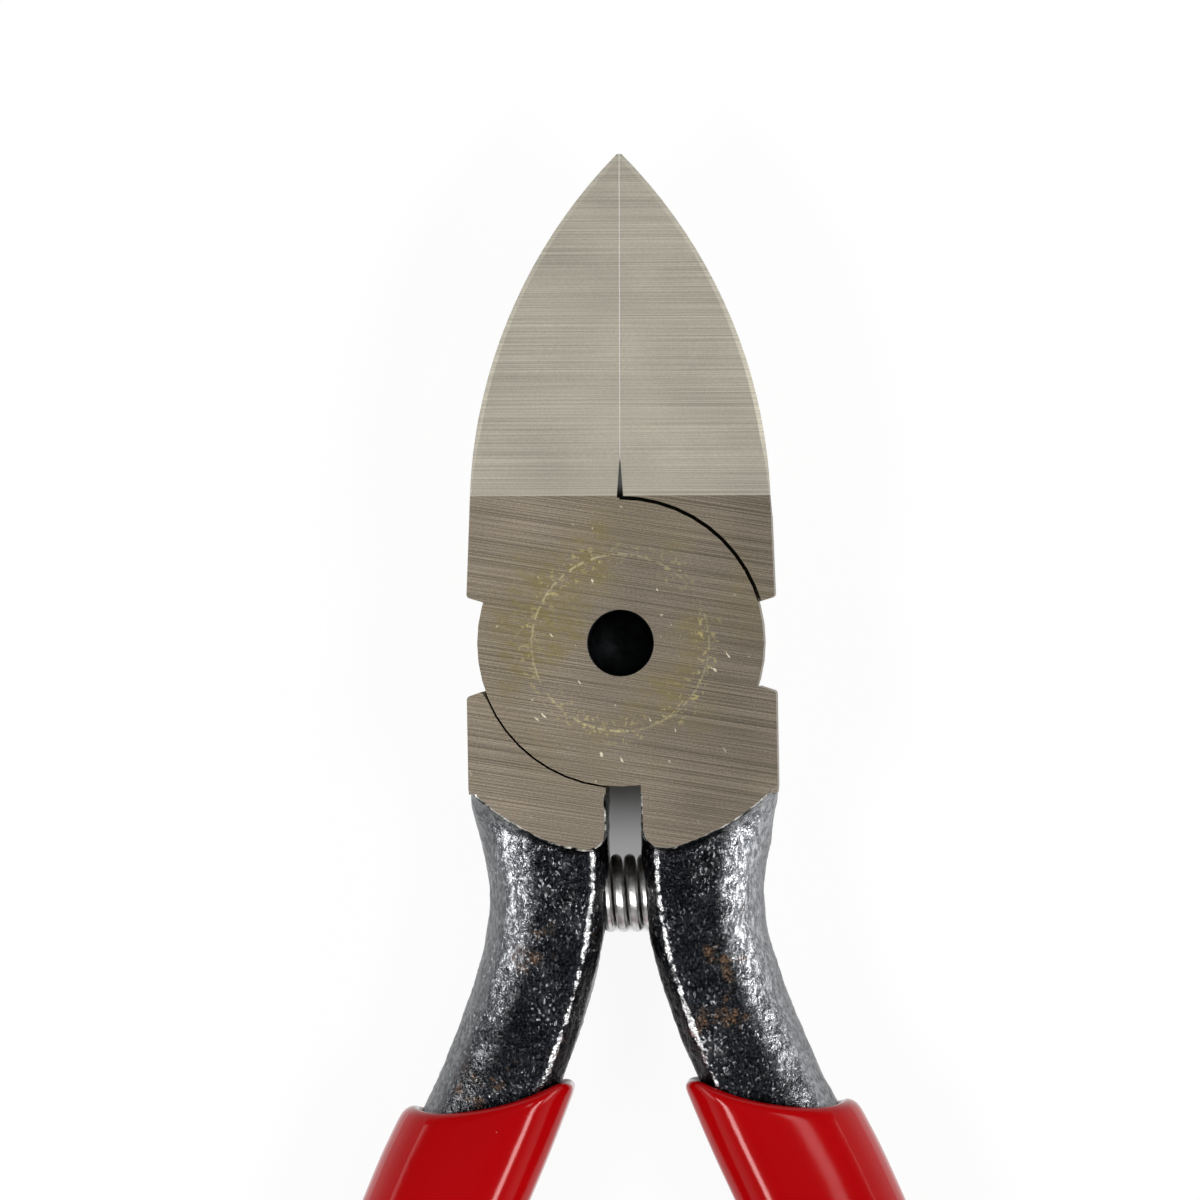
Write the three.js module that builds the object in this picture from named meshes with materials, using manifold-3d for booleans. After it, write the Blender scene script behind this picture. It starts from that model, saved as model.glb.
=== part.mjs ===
// Gate cutter: a plastic nipper with a lap joint, closed and lying on its back.
// Millimetres, +Z up. The origin is on the pivot axis, in the plane of the back ground face.
// +Y runs to the blade tips, and +Z points out of the flush face, where the two edges meet.

import * as THREE from 'three';
import { mergeVertices } from 'three/addons/utils/BufferGeometryUtils.js';
import Module from 'manifold-3d';

const wasm = await Module();
wasm.setup();

// Whole tool
const OVERALL_LENGTH = 150;
const JOINT_THICKNESS = 10;
const HANDLE_LEAN_DEG = 0.8;

// Lap joint
const DISC_RADIUS = 9.25;
const LAP_CLEARANCE = 0.3;
const LAP_FACE_GAP = 0.06;
const HORN_WALL = 0.38;
const JAW_SHOULDER_DEG = 16.6;
const HANDLE_SHOULDER_DEG = 18.4;
const SHOULDER_CORNER = 0.2;

// Blades
const BLADE_LENGTH = 22.1;
const BLADE_ROOT_RISE = 0.25;
const FLANK_FOOT = 1.26;
const TIP_BLUNT = 0.15;
const FLANK_DRAW = 0.2;
const FLANK_CHAMFER = 0.3;
const CHAMFER_FADE = 0.2;
const FLANK_TAPER = 0.4;
const FACE_TILT_DEG = 1.5;
const TIP_THICKNESS = 2.6;
const EDGE_ANGLE_DEG = 33;
const EDGE_LAND = 0.3;
const EDGE_GAP = 0.05;
const RELIEF_LENGTH = 2.6;
const RELIEF_HALF_WIDTH = 0.22;

// Rivet
const RIVET_HEAD_RADIUS = 5.7;
const RIVET_SHANK_RADIUS = 4.2;
const RIVET_HEAD_DEPTH = 1.6;
const RIVET_HOLE_RADIUS = 2.13;
const RIVET_HOLE_DEPTH = 6;
const RIVET_CLEARANCE = 0.05;

// Handle root: the boss round the joint and the slot between the handles
const BOSS_RIM = 4.4;
const BOSS_FILLET = 1.3;
const SLOT_HALF_WIDTH = 1.15;
const SLOT_CORNER = 1.35;
const ROOT_WALL = 0.05;
const ROOT_STRAIGHT = 9.5;

// Handle tangs: distances down the handle, offsets from the centre plane, and sections
const NECK_DROP = 3;
const NECK_OFFSET = 5.05;
const NECK_WIDTH = 7.7;
const NECK_THICKNESS = 8.2;
const NECK_RUN = 11.7;
const MOUTH_OFFSET = 8.5;
const MOUTH_WIDTH = 7.5;
const MOUTH_THICKNESS = 7.2;
const ELBOW_RUN = 7.1;
const ELBOW_OFFSET = 11.95;
const KNEE_RUN = 14.6;
const KNEE_OFFSET = 17.3;
const BOW_RUN = 25;
const BOW_OFFSET = 20.6;
const BOW_WIDTH = 8.2;
const BOW_THICKNESS = 6.6;
const END_OFFSET = 20;
const END_WIDTH = 6.4;
const END_THICKNESS = 5.2;
const RIDGE_SET_BACK = 1;
const RIDGE_DROP = 1.5;
const RIDGE_RADIUS = 0.6;
const OUTER_ROUND = 2.3;

// Grips
const GRIP_WALL = 1.15;
const GRIP_CLEARANCE = 0.2;
const GRIP_END_WALL = 2.6;
const GRIP_END_ROUND = 5;
const RIM_RISE = 0.15;
const RIM_DROP = 2.15;
const RIM_FLARE = 0.3;
const RIM_TUCK = 0.35;
const RIM_FLARE_LENGTH = 7;

// Return spring
const SPRING_DROP = 2.6;
const SPRING_DIAMETER = 5.1;
const SPRING_WIRE = 0.7;
const SPRING_TURNS = 7;
const SPRING_BEND = 0.7;
const SPRING_SEAT_GAP = 0.3;
const POCKET_DEPTH = 4.5;
const POCKET_CLEARANCE = 0.3;

// Facets
const ROUND_SIDES = 48;
const CORNER_STEPS = 4;
const FLANK_STEPS = 20;
const RIDGE_STEPS = 3;
const SHOULDER_STEPS = 6;
const NECK_STEP = 1.2;
const TANG_STEP = 5;
const CAP_STEPS = 5;
const CURL_STEPS = 8;
const WIRE_SIDES = 5;
const MERGE_DISTANCE = 1e-4;
const OVERCUT = 1;

// Sizes worked out from the driving dimensions
const MID_HEIGHT = JOINT_THICKNESS / 2;
const RECESS_RADIUS = DISC_RADIUS + LAP_CLEARANCE;
const JOINT_HALF_WIDTH = RECESS_RADIUS + HORN_WALL;
const BLADE_ROOT = DISC_RADIUS + BLADE_ROOT_RISE;
const TIP_ABOVE = BLADE_ROOT + BLADE_LENGTH;
const END_BELOW = OVERALL_LENGTH - TIP_ABOVE;
const BOSS_RADIUS = DISC_RADIUS + BOSS_RIM;
const NECK_BELOW = BOSS_RADIUS + NECK_DROP;
const SPRING_BELOW = BOSS_RADIUS + SPRING_DROP;
const ROOT_HALF_WIDTH = JOINT_HALF_WIDTH + ROOT_WALL;
const ROOT_OFFSET = (SLOT_HALF_WIDTH + ROOT_HALF_WIDTH) / 2;
const ROOT_WIDTH = ROOT_HALF_WIDTH - SLOT_HALF_WIDTH;
const MOUTH_BELOW = NECK_BELOW + NECK_RUN;
const ELBOW_BELOW = MOUTH_BELOW + ELBOW_RUN;
const KNEE_BELOW = ELBOW_BELOW + KNEE_RUN;
const BOW_BELOW = KNEE_BELOW + BOW_RUN;
const TANG_END = END_BELOW - GRIP_END_WALL;
const FACE_TILT = THREE.MathUtils.degToRad(FACE_TILT_DEG);
const HANDLE_LEAN = THREE.MathUtils.degToRad(HANDLE_LEAN_DEG);
const SPRING_RADIUS = (SPRING_DIAMETER - SPRING_WIRE) / 2;
const POCKET_RADIUS = SPRING_DIAMETER / 2 + POCKET_CLEARANCE;

const FRONT = 1;
const BACK = -1;

// Booleans: a closed geometry becomes a solid, and a solid becomes a geometry again

// Joins corners that fall together and drops the triangles that this closes up
function welded(geometry) {
  const bare = geometry.clone();
  bare.deleteAttribute('normal');
  bare.deleteAttribute('uv');
  const merged = mergeVertices(bare, MERGE_DISTANCE);
  const corners = merged.index.array;
  const kept = [];
  for (let i = 0; i < corners.length; i += 3) {
    const [a, b, c] = [corners[i], corners[i + 1], corners[i + 2]];
    if (a !== b && b !== c && c !== a) {
      kept.push(a, b, c);
    }
  }
  return merged.setIndex(kept);
}

function solidOf(geometry) {
  const closed = welded(geometry);
  const vertProperties = new Float32Array(closed.attributes.position.array);
  const triVerts = new Uint32Array(closed.index.array);
  return new wasm.Manifold(new wasm.Mesh({ numProp: 3, vertProperties, triVerts }));
}

function geometryOf(solid) {
  const mesh = solid.getMesh();
  const geometry = new THREE.BufferGeometry();
  geometry.setAttribute('position', new THREE.BufferAttribute(mesh.vertProperties, mesh.numProp));
  geometry.setIndex(new THREE.BufferAttribute(mesh.triVerts, 1));
  const clean = welded(geometry);
  clean.computeVertexNormals();
  return clean;
}

// Plain shapes that several pieces share

function plate(shape, low, high) {
  const depth = high - low;
  const options = { depth, bevelEnabled: false, curveSegments: ROUND_SIDES };
  const geometry = new THREE.ExtrudeGeometry(shape, options);
  return geometry.translate(0, 0, low);
}

function roundBar(radius, low, high) {
  const bar = new THREE.CylinderGeometry(radius, radius, high - low, ROUND_SIDES);
  return bar.rotateX(Math.PI / 2).translate(0, 0, (low + high) / 2);
}

function turned(profile) {
  const points = profile.map(([radius, height]) => new THREE.Vector2(radius, height));
  return new THREE.LatheGeometry(points, ROUND_SIDES).rotateX(Math.PI / 2);
}

function outline(points) {
  return new THREE.Shape(points.map(([x, y]) => new THREE.Vector2(x, y)));
}

// A cubic through stations of distance and value, with slopes from the neighbouring stations
function smoothThrough(stations, at) {
  let k = 0;
  while (k < stations.length - 2 && at > stations[k + 1][0]) {
    k += 1;
  }
  const rise = (i) => (stations[i + 1][1] - stations[i][1]) / (stations[i + 1][0] - stations[i][0]);
  const slope = (i) => {
    if (i === 0) {
      return rise(0);
    }
    if (i === stations.length - 1) {
      return rise(i - 1);
    }
    const before = stations[i][0] - stations[i - 1][0];
    const after = stations[i + 1][0] - stations[i][0];
    return (rise(i) * before + rise(i - 1) * after) / (before + after);
  };
  const span = stations[k + 1][0] - stations[k][0];
  const t = (at - stations[k][0]) / span;
  const left = (1 + 2 * t) * (1 - t) ** 2 * stations[k][1] + t * (1 - t) ** 2 * span * slope(k);
  const right = t ** 2 * (3 - 2 * t) * stations[k + 1][1] - t ** 2 * (1 - t) * span * slope(k + 1);
  return left + right;
}

// The handle's centre line and section, at a distance below the pivot

const OFFSETS = [
  [0, ROOT_OFFSET],
  [ROOT_STRAIGHT, ROOT_OFFSET],
  [NECK_BELOW, NECK_OFFSET],
  [MOUTH_BELOW, MOUTH_OFFSET],
  [ELBOW_BELOW, ELBOW_OFFSET],
  [KNEE_BELOW, KNEE_OFFSET],
  [BOW_BELOW, BOW_OFFSET],
  [END_BELOW, END_OFFSET],
];
const WIDTHS = [
  [0, ROOT_WIDTH],
  [ROOT_STRAIGHT, ROOT_WIDTH],
  [NECK_BELOW, NECK_WIDTH],
  [MOUTH_BELOW, MOUTH_WIDTH],
  [BOW_BELOW, BOW_WIDTH],
  [END_BELOW, END_WIDTH],
];
const THICKNESSES = [
  [0, NECK_THICKNESS],
  [NECK_BELOW, NECK_THICKNESS],
  [MOUTH_BELOW, MOUTH_THICKNESS],
  [BOW_BELOW, BOW_THICKNESS],
  [END_BELOW, END_THICKNESS],
];

function handleAt(below) {
  const step = NECK_STEP / 10;
  const offset = smoothThrough(OFFSETS, below);
  const drift = smoothThrough(OFFSETS, below + step) - smoothThrough(OFFSETS, below - step);
  return {
    offset,
    slant: Math.atan(drift / (2 * step)),
    width: smoothThrough(WIDTHS, below),
    thickness: smoothThrough(THICKNESSES, below),
  };
}

function wallsAt(below) {
  const { offset, width } = handleAt(below);
  return { inner: offset - width / 2, outer: offset + width / 2 };
}

// Forged section: upright inner wall, slope to a ridge, flat top and rounded outer side.
// Points run from the inner wall over the top to the outer wall, then back underneath.
function forgedSection(width, thickness, grow, flare, tuck) {
  const high = thickness / 2 + grow;
  const inner = -width / 2 - grow + tuck;
  const outer = width / 2 + grow + flare - tuck;
  const round = OUTER_ROUND + grow + flare - tuck;
  const foot = new THREE.Vector2(inner, high - RIDGE_DROP);
  const crest = new THREE.Vector2(inner + RIDGE_SET_BACK, high);
  const down = foot.clone().sub(crest).setLength(RIDGE_RADIUS).add(crest);
  const ridge = new THREE.QuadraticBezierCurve(down, crest, new THREE.Vector2(crest.x + RIDGE_RADIUS, high));
  const shoulder = [];
  for (let i = 0; i < SHOULDER_STEPS; i += 1) {
    const angle = (Math.PI / 2) * (1 - i / SHOULDER_STEPS);
    shoulder.push(new THREE.Vector2(outer - round + round * Math.cos(angle), high * Math.sin(angle)));
  }
  const over = [foot, ...ridge.getPoints(RIDGE_STEPS), ...shoulder];
  const under = over.map((point) => new THREE.Vector2(point.x, -point.y)).reverse();
  return [...over, new THREE.Vector2(outer, 0), ...under];
}

// One ring of the handle in the tool's frame: side is +1 for the handle on +X
function handleRing(side, below, { grow = 0, flare = 0, tuck = 0, scale = 1 } = {}) {
  const { offset, slant, width, thickness } = handleAt(below);
  return forgedSection(width, thickness, grow, flare, tuck).map((point) => {
    const across = point.x * scale;
    const x = offset + across * Math.cos(slant);
    const y = -below + across * Math.sin(slant);
    return new THREE.Vector3(side * x, y, MID_HEIGHT + point.y * scale);
  });
}

function middleOf(ring) {
  const sum = ring.reduce((total, point) => total.add(point), new THREE.Vector3());
  return sum.divideScalar(ring.length);
}

// A closed skin over rings with equal counts; flip turns it right side out on a mirrored handle
function skin(rings, flip) {
  const count = rings[0].length;
  const points = rings.flat();
  const corners = [];
  const add = (a, b, c) => corners.push(...(flip ? [a, c, b] : [a, b, c]));
  for (let r = 0; r + 1 < rings.length; r += 1) {
    for (let i = 0; i < count; i += 1) {
      const j = (i + 1) % count;
      const [a, b] = [r * count + i, r * count + j];
      add(a, b, b + count);
      add(a, b + count, a + count);
    }
  }
  const last = (rings.length - 1) * count;
  const first = points.push(middleOf(rings[0])) - 1;
  const final = points.push(middleOf(rings[rings.length - 1])) - 1;
  for (let i = 0; i < count; i += 1) {
    const j = (i + 1) % count;
    add(first, j, i);
    add(final, last + i, last + j);
  }
  const geometry = new THREE.BufferGeometry().setFromPoints(points);
  geometry.setIndex(corners);
  return geometry;
}

// Distances below the pivot at which a handle gets a ring: close on the neck, wide under the grip
function stationsBetween(start, end) {
  const stations = [start];
  const open = MOUTH_BELOW + RIM_DROP + NECK_STEP;
  while (end - stations[stations.length - 1] > TANG_STEP) {
    const here = stations[stations.length - 1];
    stations.push(here + (here < open ? NECK_STEP : TANG_STEP));
  }
  return [...stations, end];
}

function forgedSkin(side, start, end) {
  const rings = stationsBetween(start, end).map((below) => handleRing(side, below));
  return skin(rings, side > 0).rotateZ(HANDLE_LEAN);
}

// Blade: a pointed leaf with a chamfered flank, tilted back from the joint's ground face

const FLANK_RUN = BLADE_LENGTH + FLANK_FOOT + TIP_BLUNT;
const FLANK_HALF_WIDTH = JOINT_HALF_WIDTH - FLANK_DRAW;
const FLANK_RADIUS = (FLANK_RUN ** 2 + FLANK_HALF_WIDTH ** 2) / (2 * FLANK_HALF_WIDTH);
const FLANK_START = BLADE_ROOT - FLANK_FOOT;

// Turns a shape drawn in the blade's own plane, with y from the root line, into the tilted face
function tilted(geometry) {
  return geometry.rotateX(-FACE_TILT).translate(0, BLADE_ROOT, JOINT_THICKNESS);
}

// Outline of the leaf at one depth: the inset for the chamfer fades in from the joint, and the taper
// narrows the back towards the point
function leafRing(depth, inset, taper) {
  const centre = FLANK_RADIUS - FLANK_HALF_WIDTH;
  const foot = FLANK_START - BLADE_ROOT;
  const toTip = Math.asin((BLADE_LENGTH + FLANK_FOOT) / FLANK_RADIUS);
  const sweep = Math.min(toTip, Math.acos(centre / (FLANK_RADIUS - inset)));
  const right = [new THREE.Vector3(FLANK_HALF_WIDTH, foot - OVERCUT / 2, -depth)];
  for (let i = 0; i <= FLANK_STEPS; i += 1) {
    const along = i / FLANK_STEPS;
    const radius = FLANK_RADIUS - inset * Math.min(1, along / CHAMFER_FADE);
    const x = (radius * Math.cos(sweep * along) - centre) * (1 - taper * along);
    right.push(new THREE.Vector3(x, foot + radius * Math.sin(sweep * along), -depth));
  }
  const left = right.map(({ x, y, z }) => new THREE.Vector3(-x, y, z)).reverse();
  return [...right, ...left];
}

function leaf() {
  const deep = JOINT_THICKNESS + OVERCUT;
  const rings = [
    leafRing(deep, 0, FLANK_TAPER),
    leafRing(FLANK_CHAMFER, 0, 0),
    leafRing(0, FLANK_CHAMFER, 0),
  ];
  return tilted(skin(rings, false));
}

// Prism with its section drawn across X and Z and its length along Y
function prismAlongY(points, start, end) {
  const along = new THREE.Matrix4().makeBasis(
    new THREE.Vector3(1, 0, 0),
    new THREE.Vector3(0, 0, 1),
    new THREE.Vector3(0, -1, 0),
  );
  return plate(outline(points), -end, -start).applyMatrix4(along);
}

// Prism with its section drawn across Y and Z and its length along X
function prismAlongX(points, half) {
  const along = new THREE.Matrix4().makeBasis(
    new THREE.Vector3(0, 1, 0),
    new THREE.Vector3(0, 0, 1),
    new THREE.Vector3(1, 0, 0),
  );
  return plate(outline(points), -half, half).applyMatrix4(along);
}

// What the grinding takes off the inside of a jaw: a narrow land at the edge, then the cutting bevel
function edgeGrind(jaw) {
  const deep = JOINT_THICKNESS + OVERCUT;
  const wide = EDGE_GAP + (deep - EDGE_LAND) * Math.tan(THREE.MathUtils.degToRad(EDGE_ANGLE_DEG));
  const past = -(JOINT_HALF_WIDTH + OVERCUT);
  const section = [
    [past, OVERCUT],
    [EDGE_GAP, OVERCUT],
    [EDGE_GAP, -EDGE_LAND],
    [wide, -deep],
    [past, -deep],
  ];
  const points = section.map(([x, z]) => [jaw * x, z]);
  return tilted(prismAlongY(points, FLANK_START - BLADE_ROOT - OVERCUT, BLADE_LENGTH + OVERCUT));
}

// What slopes the blade's back from the joint to the thin tip
function backGrind() {
  const tipFace = JOINT_THICKNESS - BLADE_LENGTH * Math.tan(FACE_TILT);
  const slope = (tipFace - TIP_THICKNESS) / BLADE_LENGTH;
  const end = BLADE_LENGTH + OVERCUT;
  const section = [
    [BLADE_ROOT - OVERCUT, -slope * OVERCUT],
    [BLADE_ROOT - OVERCUT, -2 * OVERCUT],
    [BLADE_ROOT + end, -2 * OVERCUT],
    [BLADE_ROOT + end, slope * end],
  ];
  return prismAlongX(section, JOINT_HALF_WIDTH + OVERCUT);
}

function blade(jaw) {
  return solidOf(leaf()).subtract(solidOf(edgeGrind(jaw))).subtract(solidOf(backGrind()));
}

// The narrow relief between the blades, just above the joint
function relief() {
  const low = BLADE_ROOT - BLADE_ROOT_RISE / 2;
  const wedge = outline([
    [-RELIEF_HALF_WIDTH, low],
    [RELIEF_HALF_WIDTH, low],
    [EDGE_GAP, BLADE_ROOT + RELIEF_LENGTH],
    [-EDGE_GAP, BLADE_ROOT + RELIEF_LENGTH],
  ]);
  return plate(wedge, -2 * OVERCUT, JOINT_THICKNESS + 2 * OVERCUT);
}

// Joint blocks: radial shoulders that stop the opening, and straight outer walls

function shoulderPoint(halfWidth, degrees) {
  return [halfWidth, halfWidth * Math.tan(THREE.MathUtils.degToRad(degrees))];
}

// A plate from an outline drawn on the +X side, with few steps on its corners, taller than the joint
function cornered(shape, side) {
  const points = shape.getPoints(CORNER_STEPS).map(({ x, y }) => [side * x, y]);
  return plate(outline(points), -OVERCUT, JOINT_THICKNESS + OVERCUT);
}

function jawBlock(jaw) {
  const [wide, low] = shoulderPoint(JOINT_HALF_WIDTH, JAW_SHOULDER_DEG);
  const radial = low / wide;
  const shape = new THREE.Shape();
  shape.moveTo(EDGE_GAP, EDGE_GAP * radial);
  shape.lineTo(wide - SHOULDER_CORNER, low - SHOULDER_CORNER * radial);
  shape.quadraticCurveTo(wide, low, wide, low + SHOULDER_CORNER);
  shape.lineTo(FLANK_HALF_WIDTH, FLANK_START);
  shape.lineTo(EDGE_GAP, FLANK_START);
  return cornered(shape, jaw);
}

// The handle's root: its slot wall turns into the round boss with a corner that touches both
function handleBlock(side) {
  const [wide, low] = shoulderPoint(ROOT_HALF_WIDTH, -HANDLE_SHOULDER_DEG);
  const radial = low / wide;
  const foot = BOSS_RADIUS + BOSS_FILLET;
  const bend = SLOT_HALF_WIDTH + SLOT_CORNER;
  const bendBelow = Math.sqrt((BOSS_RADIUS - SLOT_CORNER) ** 2 - bend ** 2);
  const touch = -Math.atan2(bendBelow, bend);
  const shape = new THREE.Shape();
  shape.moveTo(SLOT_HALF_WIDTH, SLOT_HALF_WIDTH * radial);
  shape.lineTo(SLOT_HALF_WIDTH, -bendBelow);
  shape.absarc(bend, -bendBelow, SLOT_CORNER, -Math.PI, touch, false);
  shape.lineTo(foot * Math.cos(touch), -foot);
  for (let below = foot; below > ROOT_STRAIGHT; below -= NECK_STEP) {
    shape.lineTo(wallsAt(below).outer, -below);
  }
  shape.lineTo(ROOT_HALF_WIDTH, -ROOT_STRAIGHT);
  shape.lineTo(wide, low - SHOULDER_CORNER);
  shape.quadraticCurveTo(wide, low, wide - SHOULDER_CORNER, low - SHOULDER_CORNER * radial);
  return cornered(shape, side).rotateZ(HANDLE_LEAN);
}

// The round boss that the ground faces end on, with a hollow fillet down to the forged neck
function boss() {
  const fillet = (turn) => {
    const radius = BOSS_RADIUS + BOSS_FILLET * (1 - Math.cos(turn));
    return [radius, BOSS_FILLET * Math.sin(turn)];
  };
  const lower = [];
  for (let i = 0; i <= CORNER_STEPS; i += 1) {
    lower.push(fillet((Math.PI / 2) * (i / CORNER_STEPS)));
  }
  const upper = lower.map(([radius, height]) => [radius, JOINT_THICKNESS - height]).reverse();
  const low = [[0, -OVERCUT], [BOSS_RADIUS, -OVERCUT]];
  const high = [[BOSS_RADIUS, JOINT_THICKNESS + OVERCUT], [0, JOINT_THICKNESS + OVERCUT]];
  return turned([...low, ...lower, ...upper, ...high]);
}

// Rivet: countersunk at both ends, ground flush, with a blind hole in its front end

function rivetWall(grow) {
  return [
    [RIVET_HEAD_RADIUS + grow, 0],
    [RIVET_SHANK_RADIUS + grow, RIVET_HEAD_DEPTH],
    [RIVET_SHANK_RADIUS + grow, JOINT_THICKNESS - RIVET_HEAD_DEPTH],
    [RIVET_HEAD_RADIUS + grow, JOINT_THICKNESS],
  ];
}

function rivet() {
  const floor = JOINT_THICKNESS - RIVET_HOLE_DEPTH;
  const hole = [
    [RIVET_HOLE_RADIUS, JOINT_THICKNESS],
    [RIVET_HOLE_RADIUS, floor],
    [0, floor - RIVET_HOLE_RADIUS / 2],
  ];
  return turned([[0, 0], ...rivetWall(0), ...hole]);
}

function rivetBore() {
  const wide = RIVET_HEAD_RADIUS + RIVET_CLEARANCE;
  const low = [[0, -2 * OVERCUT], [wide, -2 * OVERCUT]];
  const high = [[wide, JOINT_THICKNESS + 2 * OVERCUT], [0, JOINT_THICKNESS + 2 * OVERCUT]];
  return turned([...low, ...rivetWall(RIVET_CLEARANCE), ...high]);
}

// Spring pockets: blind, from the slot into each neck

const POCKET_FLOOR = wallsAt(SPRING_BELOW).inner + POCKET_DEPTH;

function pocket(side) {
  const bore = roundBar(POCKET_RADIUS, 0, POCKET_FLOOR).rotateY((side * Math.PI) / 2);
  return bore.translate(0, -SPRING_BELOW, MID_HEIGHT).rotateZ(HANDLE_LEAN);
}

// The two grinding planes of the joint
function groundSlab() {
  const slab = new THREE.BoxGeometry(2 * OVERALL_LENGTH, 2 * OVERALL_LENGTH, JOINT_THICKNESS);
  return slab.translate(0, 0, MID_HEIGHT);
}

// One half: a jaw on one side and the handle on the other, with its own disc of the lap joint
function half(layer) {
  const side = layer;
  const jaw = -layer;
  const lapFace = MID_HEIGHT + (layer * LAP_FACE_GAP) / 2;
  const [bottom, top] = [-OVERCUT, JOINT_THICKNESS + OVERCUT];
  const own = layer === FRONT ? [lapFace - OVERCUT, top] : [bottom, lapFace + OVERCUT];
  const other = layer === FRONT ? [2 * bottom, lapFace] : [lapFace, top + OVERCUT];
  const root = solidOf(handleBlock(side)).intersect(solidOf(boss()));
  return solidOf(jawBlock(jaw))
    .add(blade(jaw))
    .add(root)
    .add(solidOf(forgedSkin(side, ROOT_STRAIGHT - SHOULDER_CORNER, TANG_END)))
    .subtract(solidOf(relief()))
    .add(solidOf(roundBar(DISC_RADIUS, ...own)))
    .subtract(solidOf(roundBar(RECESS_RADIUS, ...other)))
    .subtract(solidOf(rivetBore()))
    .subtract(solidOf(pocket(side)))
    .intersect(solidOf(groundSlab()));
}

// Grip: a vinyl sleeve with a rounded closed end and a slanting mouth that stands off the steel

// How far the sleeve has come from its mouth, as a share that fades away down the handle
function mouthShare(below) {
  const past = THREE.MathUtils.clamp((below - MOUTH_BELOW) / RIM_FLARE_LENGTH, 0, 1);
  return (1 - past) ** 2;
}

function sleeveSkin(side, start, end, grow, round, rimTuck) {
  const straight = stationsBetween(start, end - round);
  const rings = straight.map((below) => {
    const share = mouthShare(below);
    return handleRing(side, below, { grow, flare: RIM_FLARE * share, tuck: rimTuck * share });
  });
  for (let i = 1; i < CAP_STEPS && round > 0; i += 1) {
    const turn = (Math.PI / 2) * (i / CAP_STEPS);
    const below = end - round + round * Math.sin(turn);
    rings.push(handleRing(side, below, { grow, scale: Math.cos(turn) }));
  }
  return skin(rings, side > 0);
}

// What is cut off above the mouth: the rim is highest on the inner side
function mouthCut(side) {
  const grow = GRIP_CLEARANCE + GRIP_WALL;
  const { offset, width } = handleAt(MOUTH_BELOW);
  const reach = width / 2 + grow + OVERCUT;
  const high = RIM_RISE - MOUTH_BELOW;
  const low = high - RIM_DROP;
  const top = -NECK_BELOW;
  const shape = new THREE.Shape();
  shape.moveTo(side * (offset - 2 * reach), top);
  shape.lineTo(side * (offset - 2 * reach), high);
  shape.lineTo(side * (offset - reach), high);
  shape.quadraticCurveTo(side * (offset - reach / 2), low, side * (offset + reach), low);
  shape.lineTo(side * (offset + 2 * reach), low);
  shape.lineTo(side * (offset + 2 * reach), top);
  const points = shape.getPoints(2 * CORNER_STEPS).map(({ x, y }) => [x, y]);
  return plate(outline(points), -JOINT_THICKNESS, 2 * JOINT_THICKNESS);
}

function grip(side) {
  const start = MOUTH_BELOW - 2 * RIM_DROP;
  const tangEnd = TANG_END + GRIP_CLEARANCE;
  const outer = sleeveSkin(side, start, END_BELOW, GRIP_CLEARANCE + GRIP_WALL, GRIP_END_ROUND, RIM_TUCK);
  const cavity = sleeveSkin(side, start - OVERCUT, tangEnd, GRIP_CLEARANCE, 0, 0);
  const sleeve = solidOf(outer).subtract(solidOf(cavity)).subtract(solidOf(mouthCut(side)));
  return geometryOf(sleeve).rotateZ(HANDLE_LEAN);
}

// Return spring: one wire, coiled along X, whose ends bend to meet the pocket floors squarely

function springPath() {
  const seat = POCKET_FLOOR - SPRING_SEAT_GAP;
  const reach = seat - SPRING_WIRE - SPRING_BEND;
  const pitch = (2 * reach) / SPRING_TURNS;
  const steps = SPRING_TURNS * CURL_STEPS;
  const coil = [];
  for (let i = 0; i <= steps; i += 1) {
    const turn = (2 * Math.PI * i) / CURL_STEPS;
    const x = -reach + (pitch * i) / CURL_STEPS;
    coil.push(new THREE.Vector3(x, SPRING_RADIUS * Math.cos(turn), SPRING_RADIUS * Math.sin(turn)));
  }
  const tail = (way) => {
    const from = way < 0 ? coil[0] : coil[steps];
    const points = [];
    for (let i = 1; i <= RIDGE_STEPS; i += 1) {
      const turn = (Math.PI / 2) * (i / RIDGE_STEPS);
      const run = SPRING_BEND * Math.sin(turn);
      const rise = SPRING_BEND * (1 - Math.cos(turn));
      points.push(new THREE.Vector3(from.x + way * rise, from.y, from.z + way * run));
    }
    const bend = points[points.length - 1];
    points.push(bend.clone().setX(way * seat));
    return points;
  };
  return { coil, path: [...tail(-1).reverse(), ...coil, ...tail(1)] };
}

function leastGap(coil) {
  let least = Infinity;
  for (let i = 0; i < coil.length; i += 1) {
    for (let j = i + CURL_STEPS / 2; j < coil.length; j += 1) {
      least = Math.min(least, coil[i].distanceTo(coil[j]));
    }
  }
  return least - SPRING_WIRE;
}

function wireSkin(path) {
  const normal = new THREE.Vector3(0, 1, 0);
  const rings = path.map((point, i) => {
    const before = path[Math.max(i - 1, 0)];
    const after = path[Math.min(i + 1, path.length - 1)];
    const along = after.clone().sub(before).normalize();
    normal.addScaledVector(along, -normal.dot(along)).normalize();
    const across = along.clone().cross(normal);
    const ring = [];
    for (let k = 0; k < WIRE_SIDES; k += 1) {
      const turn = (2 * Math.PI * k) / WIRE_SIDES;
      const spot = point.clone().addScaledVector(normal, (SPRING_WIRE / 2) * Math.cos(turn));
      ring.push(spot.addScaledVector(across, (SPRING_WIRE / 2) * Math.sin(turn)));
    }
    return ring;
  });
  return skin(rings, false);
}

function returnSpring() {
  const { coil, path } = springPath();
  console.log(`return spring: least gap between turns ${leastGap(coil).toFixed(3)} mm`);
  return wireSkin(path).translate(0, -SPRING_BELOW, MID_HEIGHT).rotateZ(HANDLE_LEAN);
}

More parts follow.
